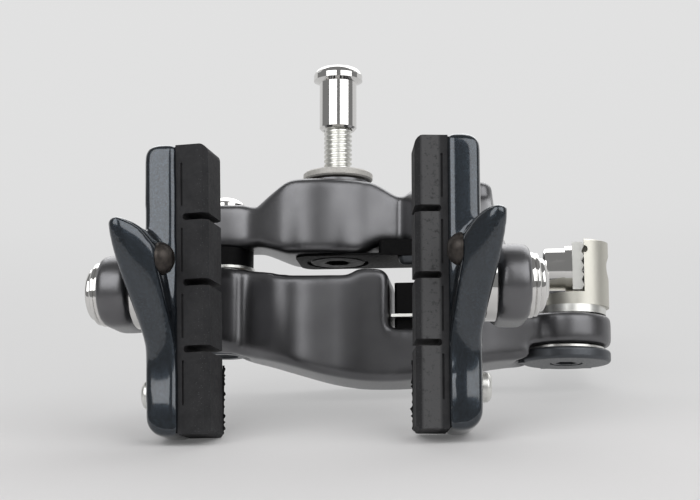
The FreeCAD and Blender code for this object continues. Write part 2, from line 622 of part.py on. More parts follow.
def wire(radius):
    """Round bar along the path of the spring."""
    curve = Part.BSplineCurve()
    curve.interpolate(spring_path)
    spine = Part.Wire(curve.toShape())
    end = Part.Wire(Part.makeCircle(radius, spring_path[0], V(0, 0, -1)))
    return spine.makePipeShell([end], True, False)


holder_low = REAR_LOW - 0.5
block = from_plan([(9.2, -7.6, 1.0), (18.5, -7.6, 1.0), (18.5, 7.0, 1.0), (9.2, 7.0, 1.0)],
                  holder_low, REAR_LOW + 2.8)
plate = from_plan([(-8.2, -8.2, 3.0), (12.5, -8.2, 2.0), (12.5, 7.0, 2.0), (-8.2, 7.0, 3.0)],
                  holder_low, REAR_LOW)
holder = plate.fuse(block).removeSplitter().cut([
    rear,
    cylinder(size("bolt_flange_dia") / 2 + 0.5, 10, V(0, 0, -24)),
    cylinder(size("centring_dia") / 2, 12, centring + V(3.2, 0, 0), V(1, 0, 0)),
    wire(size("wire_dia") / 2 + 0.02)])
feature("spring_holder", holder)

centring_screw = turned("centring_screw", [
    ("0", "0", "centring_dia / 2", 1), ("centring_dia / 2", "1.2"), ("centring_dia / 2", "19.5"),
    ("0", "19.5")])
socket(centring_screw, "2", "17.5", "2.5")
keep("centring_screw", centring_screw, at(centring.x + 3.2, centring.y, centring.z, V(1, 0, 0)))

seat = from_plan([(12.4, -6.6, 0.8), (17.4, -6.6, 0.8), (17.4, 3.0, 0.8), (12.4, 3.0, 0.8)],
                 notch_low, notch_low + 9.8)
feature("spring_seat", seat.cut(wire(size("wire_dia") / 2 + size("side_gap"))))
shim = from_plan([(11.6, -8.6, 0.5), (19.5, -8.6, 0.5), (19.5, 5.0, 0.5), (11.6, 5.0, 0.5)],
                 notch_low + 2.4, notch_low + 3.0)
feature("spring_shim", shim.cut(seat))
feature("return_spring", wire(size("wire_dia") / 2))

# Brake shoes

holder_back = size("holder_back")
holder_face = size("holder_face")
half_length = size("shoe_length") / 2
half_height = size("holder_height") / 2
PAD_SCREW_SPOT = 8.2 - half_length
GUIDE_SEAT = 2.1 - holder_face
GUIDE_UP = -8.6
GUIDE_SPOT = 5.0
WING_TOP = 12.4
WING_ROOT = -0.6 * half_length
WING_STEPS = 10


def wing_section(share):
    """Cross-section of the holder's wheel guide; share runs from its front end to its tip."""
    along = -half_length + share * (half_length + WING_TOP)
    risen = max(0.0, (along - WING_ROOT) / (WING_TOP - WING_ROOT))
    swing = risen * risen * (3 - 2 * risen)
    sunk = 1.2 * max(0.0, 1 - WING_STEPS * share)
    low = -half_height - 0.3 + sunk - size("wing_reach") * swing
    wall_low = -half_height - 0.15 + sunk - size("wing_wall") * swing
    out = -holder_back - 0.2 + size("wing_flare") * swing
    inner = -holder_face + size("wing_inset") * swing
    base = -half_height + 2.6
    corners = [(inner, base, 0), (inner, wall_low, 0.3 + 0.6 * swing), (out - 2.2, low, 1.1),
               (out, low + 0.9, 1.1),
               (-holder_back - 0.2, max(-half_height + 0.4, low + 1.6), 0)]
    section = rounded_wire(corners)
    section.translate(V(0, 0, along))
    return section


def make_holder():
    """Holder with its wheel guide, for the right side."""
    corner = size("holder_corner")
    bar = from_front([(-holder_face, -half_length, 0.4), (-holder_back, -half_length, corner),
                      (-holder_back, half_length, 2.2), (-holder_face, half_length, 0.4)],
                      -half_height, half_height)
    bar = bar.makeFillet(0.8, [edge for edge in bar.Edges if abs(edge.CenterOfMass.y) > half_height - 0.01])
    wing = Part.makeLoft([wing_section(i / WING_STEPS) for i in range(WING_STEPS + 1)], True, False)
    tip_out = size("wing_flare - holder_back") - 0.2
    inside = 0.05 - holder_face
    wing = wing.common(from_front([
        (inside, -half_length, 0), (-holder_back, -half_length, corner), (-holder_back, WING_ROOT, 0),
        (tip_out + 1, WING_ROOT, 0), (tip_out + 1, 6.0, 0),
        (tip_out, WING_TOP - 0.2, 2.0), (tip_out - 5.0, WING_TOP - 1.4, SOFT),
        (2.0 - holder_face, 6.4, SOFT),
        (inside, 6.0, 0)], -3 * half_height, half_height))
    boss = cylinder(size("convex_dia") / 2, size("holder_boss"), V(-holder_back, 0, 0), V(1, 0, 0))
    holder_shape = bar.fuse([wing, boss]).removeSplitter()
    root = size("pad_root_height") / 2 + 0.02
    depth = size("pad_root_depth")
    channel_spot = V(-holder_face - 1, -root, -half_length + 1.6)
    channel = Part.makeBox(depth + 1, 2 * root, 2 * half_length, channel_spot)
    bolt_hole = cylinder(size("shoe_bolt_dia / 2 + toe_room"), 20, V(-holder_face + depth + 0.4, 0, 0),
                         V(1, 0, 0))
    screw_hole = cylinder(1.5, 20, V(-holder_face + 1.0, 0, PAD_SCREW_SPOT), V(1, 0, 0))
    seat_spot = V(GUIDE_SEAT, GUIDE_UP, GUIDE_SPOT)
    guide_hole = cylinder(1.5, 4.0, seat_spot - V(0.5, 0, 0), V(1, 0, 0))
    guide_seat = cylinder(size("guide_screw_dia") / 2, 2.6, seat_spot, V(1, 0, 0))
    head_room = cylinder(size("guide_screw_dia") / 2 + 0.05, 8, seat_spot, V(-1, 0, 0))
    return holder_shape.fuse(guide_seat).cut([channel, bolt_hole, screw_hole, guide_hole, head_room])


GROOVE_SHIFT = 0.9
LINE_END = 2.1


def make_pad(node):
    """Rubber pad: outline with the water grooves, and the root held in the holder."""
    face = "pad_face - holder_face + pad_root_depth"
    half = "shoe_length / 2"
    corners = [("pad_root_depth", f"-{half} + 0.1"), (f"{face} - 0.6", f"-{half} + 0.1"),
               (face, f"-{half} + 0.7")]
    for step in (-1, 0, 1):
        middle_line = f"{step} * groove_pitch + {GROOVE_SHIFT}"
        inner = f"{face} - groove_depth + groove_width / 2"
        corners += [(face, f"{middle_line} - groove_width / 2"),
                    (inner, f"{middle_line} - groove_width / 2", "groove_width * 0.52", -1),
                    (inner, f"{middle_line} + groove_width / 2"),
                    (face, f"{middle_line} + groove_width / 2")]
    corners += [(face, f"{half} - 1.7", "1.6", 1), (f"{face} - 1.6", f"{half} - 0.1"),
                ("pad_root_depth", f"{half} - 0.1")]
    body = padded(node, corners, "pad_height", "XZ_Plane", True)
    tongue = outline(body, "XZ_Plane", [
        ("0.1", f"-{half} + 1.7"), ("pad_root_depth + 0.5", f"-{half} + 1.7"),
        ("pad_root_depth + 0.5", f"{half} - 0.2"),
        ("0.1", f"{half} - 0.2")], node + "_root")
    extra = body.newObject("PartDesign::Pad", node + "_root_pad")
    extra.Profile = tongue
    extra.setExpression("Length", bound("pad_root_height"))
    extra.SideType = "Symmetric"
    doc.recompute()
    for sign in ("", "-"):
        bevel_sketch = outline(body, "XY_Plane", [
            (f"{face} - pad_bevel - 1", f"{sign}(pad_height / 2 + 1)"),
            (f"{face} + 1", f"{sign}(pad_height / 2 + 1)"),
            (f"{face} + 1", f"{sign}(pad_height / 2 - pad_bevel - 1)")], node + "_bevel_outline")
        bevel = body.newObject("PartDesign::Pocket", node + "_bevel")
        bevel.Profile = bevel_sketch
        bevel.SideType = "Symmetric"
        bevel.setExpression("Length", bound("2 * shoe_length"))
        doc.recompute()
    line = size("pad_line")
    pitch = size("groove_pitch")
    long = pitch - 2 * LINE_END
    for step in (-2, -1, 0, 1):
        for face_y in (-size("pad_height") / 2, size("pad_height") / 2 - line):
            cut = body.newObject("PartDesign::SubtractiveBox", node + "_line")
            cut.Length = line
            cut.Width = line
            cut.Height = long
            cut.AttachmentSupport = [(plane(body, "XY_Plane"), "")]
            cut.MapMode = "FlatFace"
            cut.AttachmentOffset = at(size("pad_root_depth") + 0.95, face_y,
                                      pitch * step + GROOVE_SHIFT + LINE_END)
    doc.recompute()
    return body


def ball_washer(node, side, hollow):
    """Convex washer, or the concave one that takes its ball face."""
    solid = doc.addObject("Part::Cylinder", node + "_disc")
    ball = doc.addObject("Part::Sphere", node + "_ball")
    ball.setExpression("Radius", bound("ball_radius"))
    hole = doc.addObject("Part::Cylinder", node + "_hole")
    hole.setExpression("Radius", bound("shoe_bolt_dia / 2 + toe_room"))
    hole.Height = 30
    hole.Placement = at(0, 0, -15)
    low = size("holder_boss") - holder_back
    ball.Placement = at(0, 0, BALL_OUT)
    if hollow:
        solid.setExpression("Radius", bound("concave_dia / 2"))
        solid.setExpression("Height", bound("concave_thick"))
        solid.Placement = at(0, 0, -END_HALF - size("concave_thick"))
        form = doc.addObject("Part::Cut", node + "_form")
    else:
        solid.setExpression("Radius", bound("convex_dia / 2"))
        solid.Height = 4
        solid.Placement = at(0, 0, low)
        form = doc.addObject("Part::Common", node + "_form")
    form.Base = solid
    form.Tool = ball
    ringed = doc.addObject("Part::Cut", node)
    ringed.Base = form
    ringed.Tool = hole
    doc.recompute()
    keep(node, ringed, on_bolt(side, 0, frame_of=end_place if hollow else shoe_place))


for side, word in ((1, "right"), (-1, "left")):
    feature(f"shoe_holder_{word}", sided(make_holder(), side, shoe_place))

    pad = make_pad(f"brake_pad_{word}")
    half_turn = FreeCAD.Rotation(V(0, 0, 1), 180 if side > 0 else 0)
    pad_spot = V(side * (size("pad_root_depth") - holder_face), 0, 0)
    keep(f"brake_pad_{word}", pad, shoe_place(side).multiply(FreeCAD.Placement(pad_spot, half_turn)))

    ball_washer(f"convex_washer_{word}", side, False)
    ball_washer(f"concave_washer_{word}", side, True)

    outer = turned(f"shoe_washer_{word}", [
        ("shoe_bolt_dia / 2", "0"), ("shoe_washer_dia / 2", "0"),
        ("shoe_washer_dia / 2", "shoe_washer_thick * 0.4"),
        ("shoe_washer_dia / 2 - 0.5", "shoe_washer_thick * 0.5"),
        ("shoe_washer_dia / 2 - 0.3", "shoe_washer_thick * 0.6"),
        ("shoe_washer_dia / 2 - 0.3", "shoe_washer_thick - 0.3"),
        ("shoe_washer_dia / 2 - 0.6", "shoe_washer_thick"),
        ("shoe_bolt_dia / 2", "shoe_washer_thick")])
    keep(f"shoe_washer_{word}", outer, on_bolt(side, END_HALF))

    shoe_shank = "end_thick / 2 + shoe_washer_thick + holder_face - pad_root_depth - 0.8"
    shoe_bolt = turned(f"shoe_bolt_{word}", [
        ("0", "0"), ("shoe_bolt_dia / 2", "0"), ("shoe_bolt_dia / 2", shoe_shank),
        ("shoe_head_dia / 2", shoe_shank),
        ("shoe_head_dia / 2", f"{shoe_shank} + 0.6", "shoe_head_dia / 2", 1),
        ("shoe_head_dia / 2 - 2.2", f"{shoe_shank} + 1.8"), ("0", f"{shoe_shank} + 1.8")])
    socket(shoe_bolt, "4", f"{shoe_shank} - 0.6", "3")
    keep(f"shoe_bolt_{word}", shoe_bolt, on_bolt(side, size("pad_root_depth") + 0.8 - holder_face))

    guide = turned(f"guide_screw_{word}", [
        ("0", "0"), ("1.5", "0"), ("1.5", "2.4"), ("guide_screw_dia / 2", "2.4"),
        ("guide_screw_dia / 2", "2.9", "guide_screw_dia / 2", 1), ("1.2", "5.0"), ("0", "5.0")])
    slot_cut(guide, 8.0, 0.9, "4.1", 2.0)
    guide_spot = on_bolt(side, GUIDE_SEAT + 2.4, GUIDE_UP, GUIDE_SPOT, False, shoe_place)
    keep(f"guide_screw_{word}", guide, guide_spot)

    pad_screw = turned(f"pad_screw_{word}", [
        ("0", "0"), ("1.5", "0"), ("1.5", "3.6"), ("pad_screw_dia / 2", "3.6"),
        ("pad_screw_dia / 2", "4.5", "1.2", 1), ("pad_screw_dia / 2 - 0.8", "5.3"), ("0", "5.3")])
    slot_cut(pad_screw, 3.4, 0.8, "4.5", 2.0)
    slot_cut(pad_screw, 0.8, 3.4, "4.5", 2.0)
    screw_spot = on_bolt(side, -holder_back - 3.1, 0, PAD_SCREW_SPOT, True, shoe_place)
    keep(f"pad_screw_{word}", pad_screw, screw_spot)

# Quick release in the ring

washer_low = RING_TOP + size("side_gap")
post_low = washer_low + size("tab_washer")
post_x = size("post_x")
post_r = size("post_radius")
wall_x = post_x + post_r - size("post_wall")
post = cylinder(post_r, size("post_height"), V(post_x, RING.y, post_low))
crown = Part.makeSphere(size("post_height") + 3, V(post_x + 1, RING.y, post_low - 3))
post = post.common(crown)
clear = Part.makeBox(40, 40, 40, V(wall_x - 40, RING.y - 20, post_low + size("post_base")))
lever_top = RING_LOW - size("side_gap") - size("thin_washer")
lever_low = lever_top - size("lever_thick")
pin_low = lever_low + 1.8
pin = cylinder(size("post_pin_dia") / 2, post_low + 0.5 - pin_low, V(RING.x, RING.y, pin_low))
clamp_hole = cylinder(size("clamp_screw_dia") / 2, 40, V(wall_x - 1, RING.y, size("clamp_z")), V(1, 0, 0))
cable_groove = cylinder(0.8, 40, V(wall_x, RING.y - 20, cable_z), V(0, 1, 0))
lever_hole = cylinder(1.75, 9, V(RING.x, RING.y, pin_low))
post = post.cut(clear).fuse(pin).removeSplitter().cut([clamp_hole, cable_groove, lever_hole])
feature("anchor_post", post)

tab = from_plan([(RING.x - 9.6, RING.y - 1.6, 0.6), (RING.x - 3.0, RING.y - 1.6, 0),
                 (RING.x - 3.0, RING.y + 1.6, 0),
                 (RING.x - 9.6, RING.y + 1.6, 0.6)], washer_low, post_low)
tab_washer = cylinder(size("post_radius") + 0.5, size("tab_washer"),
                      V(post_x - 1.2, RING.y, washer_low)).fuse(tab)
pin_hole = cylinder(size("post_pin_dia") / 2, 10, V(RING.x, RING.y, washer_low - 2))
tab_washer = tab_washer.removeSplitter().cut(pin_hole)
feature("anchor_washer", tab_washer)

disc = cylinder(ring_radius, size("lever_thick"), V(RING.x, RING.y, lever_low))
disc = disc.makeFillet(0.7, [edge for edge in disc.Edges if len(edge.Vertexes) == 1])
paddle_end = RING.y + size("paddle_length")
PADDLE_RISE = 5.2
paddle = from_plan([
    (RING.x - 5.0, RING.y, 0), (RING.x + 5.0, RING.y, 0), (RING.x + 5.8, paddle_end - 5, 8.0),
    (RING.x + 3.5, paddle_end, 2.0), (RING.x - 3.5, paddle_end, 2.0), (RING.x - 5.8, paddle_end - 5, 8.0)],
    lever_low, lever_top + PADDLE_RISE)
bend_start = RING.y + ring_radius - 1.2
paddle = paddle.common(from_side([
    (RING.y - 1, lever_low, 0), (bend_start, lever_low, 3.0), (paddle_end + 1, lever_low + PADDLE_RISE, 0),
    (paddle_end + 1, lever_top + PADDLE_RISE, 0), (bend_start, lever_top, 3.0), (RING.y - 1, lever_top, 0)],
    RING.x - 20, RING.x + 20))
nub = cylinder(1.0, size("lever_thick"), V(RING.x - ring_radius + 0.4, RING.y - 1.5, lever_low))
lever = disc.fuse([paddle, nub]).removeSplitter().cut([
    cylinder(size("post_pin_dia") / 2, 4, V(RING.x, RING.y, pin_low)),
    cylinder(1.75, 10, V(RING.x, RING.y, lever_low - 2)),
    cylinder(3.4, 1.7, V(RING.x, RING.y, lever_low))])
feature("release_lever", lever)

lever_washer = turned("lever_washer", [
    ("post_pin_dia / 2", "0"), ("ring_radius - 1.3", "0"), ("ring_radius - 1.3", "thin_washer"),
    ("post_pin_dia / 2", "thin_washer")])
keep("lever_washer", lever_washer, at(RING.x, RING.y, lever_top))

lever_screw = turned("lever_screw", [
    ("0", "0"), ("1.75", "0"), ("1.75", "6.4"), ("3.4", "6.4"), ("3.4", "7.6"), ("3.0", "8"), ("0", "8")])
socket(lever_screw, "4", "6.7", "2")
keep("lever_screw", lever_screw, at(RING.x, RING.y, lever_low + 8.1, V(0, 0, -1)))

plate_x = wall_x - size("clamp_plate_thick")
plate_half = 5.0
teeth = []
for index in range(5):
    edge = plate_half - index * 2.0
    teeth += [(f"{edge}", "clamp_plate_thick - 0.5"), (f"{edge - 1.0}", "clamp_plate_thick")]
plate_outline = [(f"{-plate_half}", "0"), (f"{plate_half}", "0")] + teeth
plate_outline += [(f"{-plate_half}", "clamp_plate_thick - 0.5")]
clamp_plate = padded("clamp_plate", plate_outline, "9.0", "XY_Plane", True)
bore = clamp_plate.newObject("PartDesign::SubtractiveCylinder", "clamp_plate_bore")
bore.setExpression("Radius", bound("clamp_screw_dia / 2"))
bore.Height = 20
bore.AttachmentSupport = [(plane(clamp_plate, "XZ_Plane"), "")]
bore.MapMode = "FlatFace"
bore.AttachmentOffset = at(0, 0, -10)
doc.recompute()
lay = FreeCAD.Rotation(V(0, 0, 1), V(1, 0, 0), V(0, 1, 0), "XZY")
keep("clamp_plate", clamp_plate, FreeCAD.Placement(V(plate_x, RING.y, size("clamp_z")), lay))

clamp_washer = turned("clamp_washer", [
    ("clamp_screw_dia / 2", "0"), ("clamp_head_dia / 2 + 0.5", "0"),
    ("clamp_head_dia / 2 + 0.5", "clamp_washer_thick"),
    ("clamp_screw_dia / 2", "clamp_washer_thick")])
keep("clamp_washer", clamp_washer, at(plate_x - size("clamp_washer_thick"), RING.y, size("clamp_z"),
                                      V(1, 0, 0)))

clamp_shank = "clamp_washer_thick + clamp_plate_thick + post_wall - 0.6"
clamp_screw = turned("clamp_screw", [
    ("0", "0"), ("clamp_screw_dia / 2", "0"), ("clamp_screw_dia / 2", clamp_shank),
    ("clamp_head_dia / 2", clamp_shank),
    ("clamp_head_dia / 2", f"{clamp_shank} + clamp_head_length - 0.8", "0.8", 1),
    ("clamp_head_dia / 2 - 0.8", f"{clamp_shank} + clamp_head_length"),
    ("0", f"{clamp_shank} + clamp_head_length")])
socket(clamp_screw, "4", f"{clamp_shank} + clamp_head_length - 2.6", "3")
screw_end = plate_x - size("clamp_washer_thick") + size(clamp_shank)
keep("clamp_screw", clamp_screw, at(screw_end, RING.y, size("clamp_z"), V(-1, 0, 0)))

# Cable adjuster on the rear arm

barrel = turned("adjuster_barrel", [
    ("cable_hole / 2", "0"), ("barrel_dia / 2", "0"), ("barrel_dia / 2", "barrel_length - 4"),
    ("barrel_dia / 2 + 1.2", "barrel_length - 3"), ("barrel_dia / 2 + 1.2", "barrel_length - 0.4"),
    ("barrel_dia / 2 + 0.8", "barrel_length"), ("housing_dia / 2", "barrel_length"),
    ("housing_dia / 2", "barrel_length - housing_depth"),
    ("cable_hole / 2", "barrel_length - housing_depth")])
keep("adjuster_barrel", barrel, at(cable_x, stop_low, cable_z, V(0, 1, 0)))

ring_start = stop_high + size("side_gap")
adjust_ring = turned("adjuster_ring", [
    ("barrel_dia / 2 + running_gap", "0"), ("adjust_ring_dia / 2 - 0.5", "0"),
    ("adjust_ring_dia / 2", "0.5"),
    ("adjust_ring_dia / 2", "adjust_ring_length - 0.5"), ("adjust_ring_dia / 2 - 0.5", "adjust_ring_length"),
    ("barrel_dia / 2 + running_gap", "adjust_ring_length")])
flute = adjust_ring.newObject("PartDesign::SubtractiveCylinder", "adjuster_ring_flute")
flute.setExpression("Radius", bound("flute_radius"))
flute.Height = 40
flute.AttachmentSupport = [(plane(adjust_ring, "XY_Plane"), "")]
flute.MapMode = "FlatFace"
flute.AttachmentOffset = at(size("adjust_ring_dia / 2 + flute_radius * 0.6"), 0, -20)
doc.recompute()
flutes = adjust_ring.newObject("PartDesign::PolarPattern", "adjuster_ring_flutes")
flutes.Originals = [flute]
flutes.Axis = (plane(adjust_ring, "Z_Axis"), [""])
flutes.Angle = 360
flutes.Occurrences = 12
adjust_ring.Tip = flutes
doc.recompute()
keep("adjuster_ring", adjust_ring, at(cable_x, ring_start, cable_z, V(0, 1, 0)))

# Every piece is tested before any is written

doc.recompute()
for thing in doc.Objects:
    if {"Invalid", "Error"} & set(thing.State):
        raise RuntimeError(f"{thing.Label} did not compute: {thing.State}")
for node, thing in pieces.items():
    if thing.Shape.isNull() or not thing.Shape.isValid() or len(thing.Shape.Solids) != 1:
        raise RuntimeError(f"{node} is not one valid solid")
for node, thing in pieces.items():
    thing.Shape.exportStep(f"parts/{node}.step")
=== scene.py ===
import json
import math

import bmesh
import bpy
from mathutils import Matrix, Vector, noise
from mathutils.bvhtree import BVHTree


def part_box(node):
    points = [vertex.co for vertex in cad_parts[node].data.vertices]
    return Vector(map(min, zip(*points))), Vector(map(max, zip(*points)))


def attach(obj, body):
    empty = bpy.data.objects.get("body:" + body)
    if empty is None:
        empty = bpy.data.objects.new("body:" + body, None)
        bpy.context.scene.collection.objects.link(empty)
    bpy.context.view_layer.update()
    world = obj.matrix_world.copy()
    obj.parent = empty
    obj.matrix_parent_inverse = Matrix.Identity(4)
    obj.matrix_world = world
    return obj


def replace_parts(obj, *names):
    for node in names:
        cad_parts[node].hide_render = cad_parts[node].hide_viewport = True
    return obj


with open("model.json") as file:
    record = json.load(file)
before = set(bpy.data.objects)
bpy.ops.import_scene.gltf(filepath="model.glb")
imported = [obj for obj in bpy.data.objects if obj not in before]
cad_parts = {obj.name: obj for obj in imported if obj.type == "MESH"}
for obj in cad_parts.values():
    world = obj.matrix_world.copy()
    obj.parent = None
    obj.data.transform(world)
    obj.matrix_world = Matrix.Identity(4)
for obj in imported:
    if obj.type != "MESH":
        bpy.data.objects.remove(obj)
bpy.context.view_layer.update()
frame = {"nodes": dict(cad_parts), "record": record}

# Dual-pivot caliper brake, seen from the wheel's side, standing on the front ends of its two pads.
# Everything is in metres, in the frame of the solids; MM turns a size in millimetres into metres.

MM = 0.001
WELD = 0.001 * MM            # points nearer than this are merged
NODES = frame["nodes"]

# Camera, fitted to the photograph's frame of 700 x 500
PHOTO_WIDTH = 700
FOCAL_PIXELS = 1980.0
CAMERA_PLACE = Vector((43.99, -407.84, -96.13)) * MM
CAMERA_AZIMUTH = math.radians(5.8)
CAMERA_ELEVATION = math.radians(-11.0)

# The brake leans back, so the floor rises behind the pads in this frame
FLOOR_LEAN = math.radians(17.0)
FLOOR_SPOT = Vector((0.0, -44.0, -60.6)) * MM


def linear(text):
    """Linear colour from an sRGB hex value."""
    channels = [int(text[i:i + 2], 16) / 255 for i in (1, 3, 5)]
    return tuple(
        c / 12.92 if c <= 0.04045 else ((c + 0.055) / 1.055) ** 2.4 for c in channels) + (1.0,)


def per(size_mm):
    """Pattern scale for grains or cells of that many millimetres."""
    return 1.0 / (size_mm * MM)


def add(tree, kind, settings=None, links=None, stops=()):
    """One shader node with its settings, the links into it and its colour stops."""
    node = tree.nodes.new("ShaderNode" + kind)
    for key, value in (settings or {}).items():
        if isinstance(key, str) and hasattr(node, key):
            setattr(node, key, value)
        else:
            node.inputs[key].default_value = value
    for socket, source in (links or {}).items():
        tree.links.new(source, node.inputs[socket])
    for index, (position, colour) in enumerate(stops):
        if index > 1:
            node.color_ramp.elements.new(position)
        node.color_ramp.elements[index].position = position
        node.color_ramp.elements[index].color = linear(colour)
    return node


def new_material(name, colour, metallic, roughness, **more):
    """Principled material with its constant values set on the shader's own sockets."""
    material = bpy.data.materials.new(name)
    material.use_nodes = True
    tree = material.node_tree
    shader = tree.nodes["Principled BSDF"]
    shader.inputs["Base Color"].default_value = linear(colour)
    shader.inputs["Metallic"].default_value = metallic
    shader.inputs["Roughness"].default_value = roughness
    for key, value in more.items():
        socket = key.replace("_", " ").title().replace("Ior", "IOR")
        shader.inputs[socket].default_value = value
    return material, tree, shader


def blasted_aluminium():
    """Forged aluminium, blasted and anodised dark grey: wide soft bands of light, no mirror."""
    material, tree, shader = new_material("blasted dark anodised aluminium", "#6d6d6e", 0.95, 0.33)
    place = add(tree, "TexCoord").outputs["Object"]
    # the blasted grain is about 0.05 mm; it is drawn at 0.3 mm, so that it shows at all
    blast = add(tree, "TexNoise", {"Scale": per(0.3), "Detail": 2.0}, {"Vector": place})
    dye = add(tree, "TexNoise", {"Scale": per(9.0), "Detail": 2.0}, {"Vector": place})
    colour = add(tree, "ValToRGB", links={"Fac": dye.outputs["Fac"]},
                 stops=[(0.3, "#68686a"), (0.7, "#727274")])
    rough = add(tree, "MapRange",
                {"From Min": 0.3, "From Max": 0.7, "To Min": 0.29, "To Max": 0.37},
                {"Value": blast.outputs["Fac"]})
    bump = add(tree, "Bump", {"Strength": 0.6, "Distance": 0.006 * MM},
               {"Height": blast.outputs["Fac"]})
    tree.links.new(colour.outputs["Color"], shader.inputs["Base Color"])
    tree.links.new(rough.outputs["Result"], shader.inputs["Roughness"])
    tree.links.new(bump.outputs["Normal"], shader.inputs["Normal"])
    return material


def pearl_lacquer():
    """Cast aluminium in blue-black pearl lacquer: a dark gloss coat over a glint of blue mica."""
    material, tree, shader = new_material(
        "blue-black pearl lacquer", "#2f3a45", 0.85, 0.27,
        coat_weight=1.0, coat_roughness=0.08, coat_ior=1.6)
    place = add(tree, "TexCoord").outputs["Object"]
    # mica flakes are about 0.03 mm; they are drawn at 0.18 mm, so that they show
    mica = add(tree, "TexVoronoi", {"Scale": per(0.18)}, {"Vector": place})
    colour = add(tree, "ValToRGB", links={"Fac": mica.outputs["Color"]},
                 stops=[(0.2, "#171e25"), (0.95, "#424e5a"), (0.6, "#222b33")])
    tree.links.new(colour.outputs["Color"], shader.inputs["Base Color"])
    return material


def worn_rubber():
    """Moulded rubber compound: matte black, rubbed grey with dust and pores towards the rim."""
    material, tree, shader = new_material(
        "worn moulded rubber", "#202022", 0.0, 0.75, specular_ior_level=0.35)
    place = add(tree, "TexCoord").outputs["Object"]
    split = add(tree, "SeparateXYZ", links={"Vector": place})

    # distance from the brake's middle, along the lean of the pads' faces
    across = add(tree, "Math", {"operation": "ABSOLUTE"}, {0: split.outputs["X"]})
    lean = add(tree, "Math", {"operation": "MULTIPLY", 1: 0.127}, {0: split.outputs["Y"]})
    depth = add(tree, "Math", {"operation": "ADD"}, {0: across.outputs[0], 1: lean.outputs[0]})
    rim_band = add(tree, "MapRange", {
        "From Min": 14.2 * MM, "From Max": 15.4 * MM, "To Min": 1.0, "To Max": 0.0},
        {"Value": depth.outputs[0]})

    # lighter grey band on the front of the right pad only, between its chamfer and its foot
    inner = add(tree, "MapRange", {"From Min": 14.2 * MM, "From Max": 14.8 * MM},
                {"Value": depth.outputs[0]})
    outer = add(tree, "MapRange", {
        "From Min": 17.6 * MM, "From Max": 18.2 * MM, "To Min": 1.0, "To Max": 0.0},
        {"Value": depth.outputs[0]})
    right = add(tree, "Math", {"operation": "GREATER_THAN", 1: 0.0}, {0: split.outputs["X"]})
    grey_band_span = add(tree, "Math", {"operation": "MULTIPLY"}, {
        0: inner.outputs["Result"], 1: outer.outputs["Result"]})
    grey_band_right = add(tree, "Math", {"operation": "MULTIPLY"}, {
        0: grey_band_span.outputs[0], 1: right.outputs[0]})

    smear = add(tree, "TexNoise", {"Scale": per(5.0), "Detail": 4.0}, {"Vector": place})
    pores = add(tree, "TexNoise", {"Scale": per(0.9), "Detail": 6.0, "Roughness": 0.72},
                {"Vector": place})
    dust = add(tree, "TexVoronoi", {"Scale": per(0.45)}, {"Vector": place})
    base = add(tree, "ValToRGB", links={"Fac": smear.outputs["Fac"]},
               stops=[(0.3, "#1d1d1f"), (0.7, "#29292b")])
    grey_band_tone = add(tree, "ValToRGB", links={"Fac": pores.outputs["Fac"]},
                     stops=[(0.34, "#2a2a2b"), (0.66, "#666667"), (0.48, "#4a4a4b")])
    # the base with the lighter grey band of the right pad mixed over it
    worn = add(tree, "MixRGB", links={
        "Fac": grey_band_right.outputs[0], "Color1": base.outputs["Color"],
        "Color2": grey_band_tone.outputs["Color"]})

    # pale specks of dust, thick at the rim and thin elsewhere
    speck = add(tree, "MapRange", {
        "From Min": 0.10, "From Max": 0.17, "To Min": 1.0, "To Max": 0.0},
        {"Value": dust.outputs["Distance"]})
    thin = add(tree, "MapRange", {
        "From Min": 0.0, "From Max": 1.0, "To Min": 0.04, "To Max": 0.8},
        {"Value": rim_band.outputs["Result"]})
    some = add(tree, "Math", {"operation": "MULTIPLY"}, {
        0: speck.outputs["Result"], 1: thin.outputs["Result"]})
    dusted = add(tree, "MixRGB", {"Color2": linear("#545456")}, {
        "Fac": some.outputs[0], "Color1": worn.outputs["Color"]})

    rough = add(tree, "MapRange",
                {"From Min": 0.3, "From Max": 0.7, "To Min": 0.66, "To Max": 0.86},
                {"Value": pores.outputs["Fac"]})
    bump = add(tree, "Bump", {"Strength": 0.8, "Distance": 0.05 * MM},
               {"Height": pores.outputs["Fac"]})
    tree.links.new(dusted.outputs["Color"], shader.inputs["Base Color"])
    tree.links.new(rough.outputs["Result"], shader.inputs["Roughness"])
    tree.links.new(bump.outputs["Normal"], shader.inputs["Normal"])
    return material


def chromium_plate():
    """Chromium plate on polished steel: a clear mirror, faintly wiped."""
    material, tree, shader = new_material("polished chromium plate", "#d9d8d6", 1.0, 0.06)
    place = add(tree, "TexCoord").outputs["Object"]
    wiped = add(tree, "TexNoise", {"Scale": per(2.5), "Detail": 2.0}, {"Vector": place})
    rough = add(tree, "MapRange",
                {"From Min": 0.3, "From Max": 0.7, "To Min": 0.04, "To Max": 0.09},
                {"Value": wiped.outputs["Fac"]})
    tree.links.new(rough.outputs["Result"], shader.inputs["Roughness"])
    return material


def zinc_plate():
    """Bright zinc plate on turned steel: pale, with a soft shine and fine tool marks."""
    material, tree, shader = new_material("bright zinc plate", "#e2e2de", 1.0, 0.34)
    place = add(tree, "TexCoord").outputs["Object"]
    # tool marks are about 0.1 mm; here and on the other turned pieces they are drawn at 0.35 mm
    marks = add(tree, "TexNoise", {"Scale": per(0.35), "Detail": 2.0}, {"Vector": place})
    rough = add(tree, "MapRange",
                {"From Min": 0.3, "From Max": 0.7, "To Min": 0.29, "To Max": 0.39},
                {"Value": marks.outputs["Fac"]})
    tree.links.new(rough.outputs["Result"], shader.inputs["Roughness"])
    return material


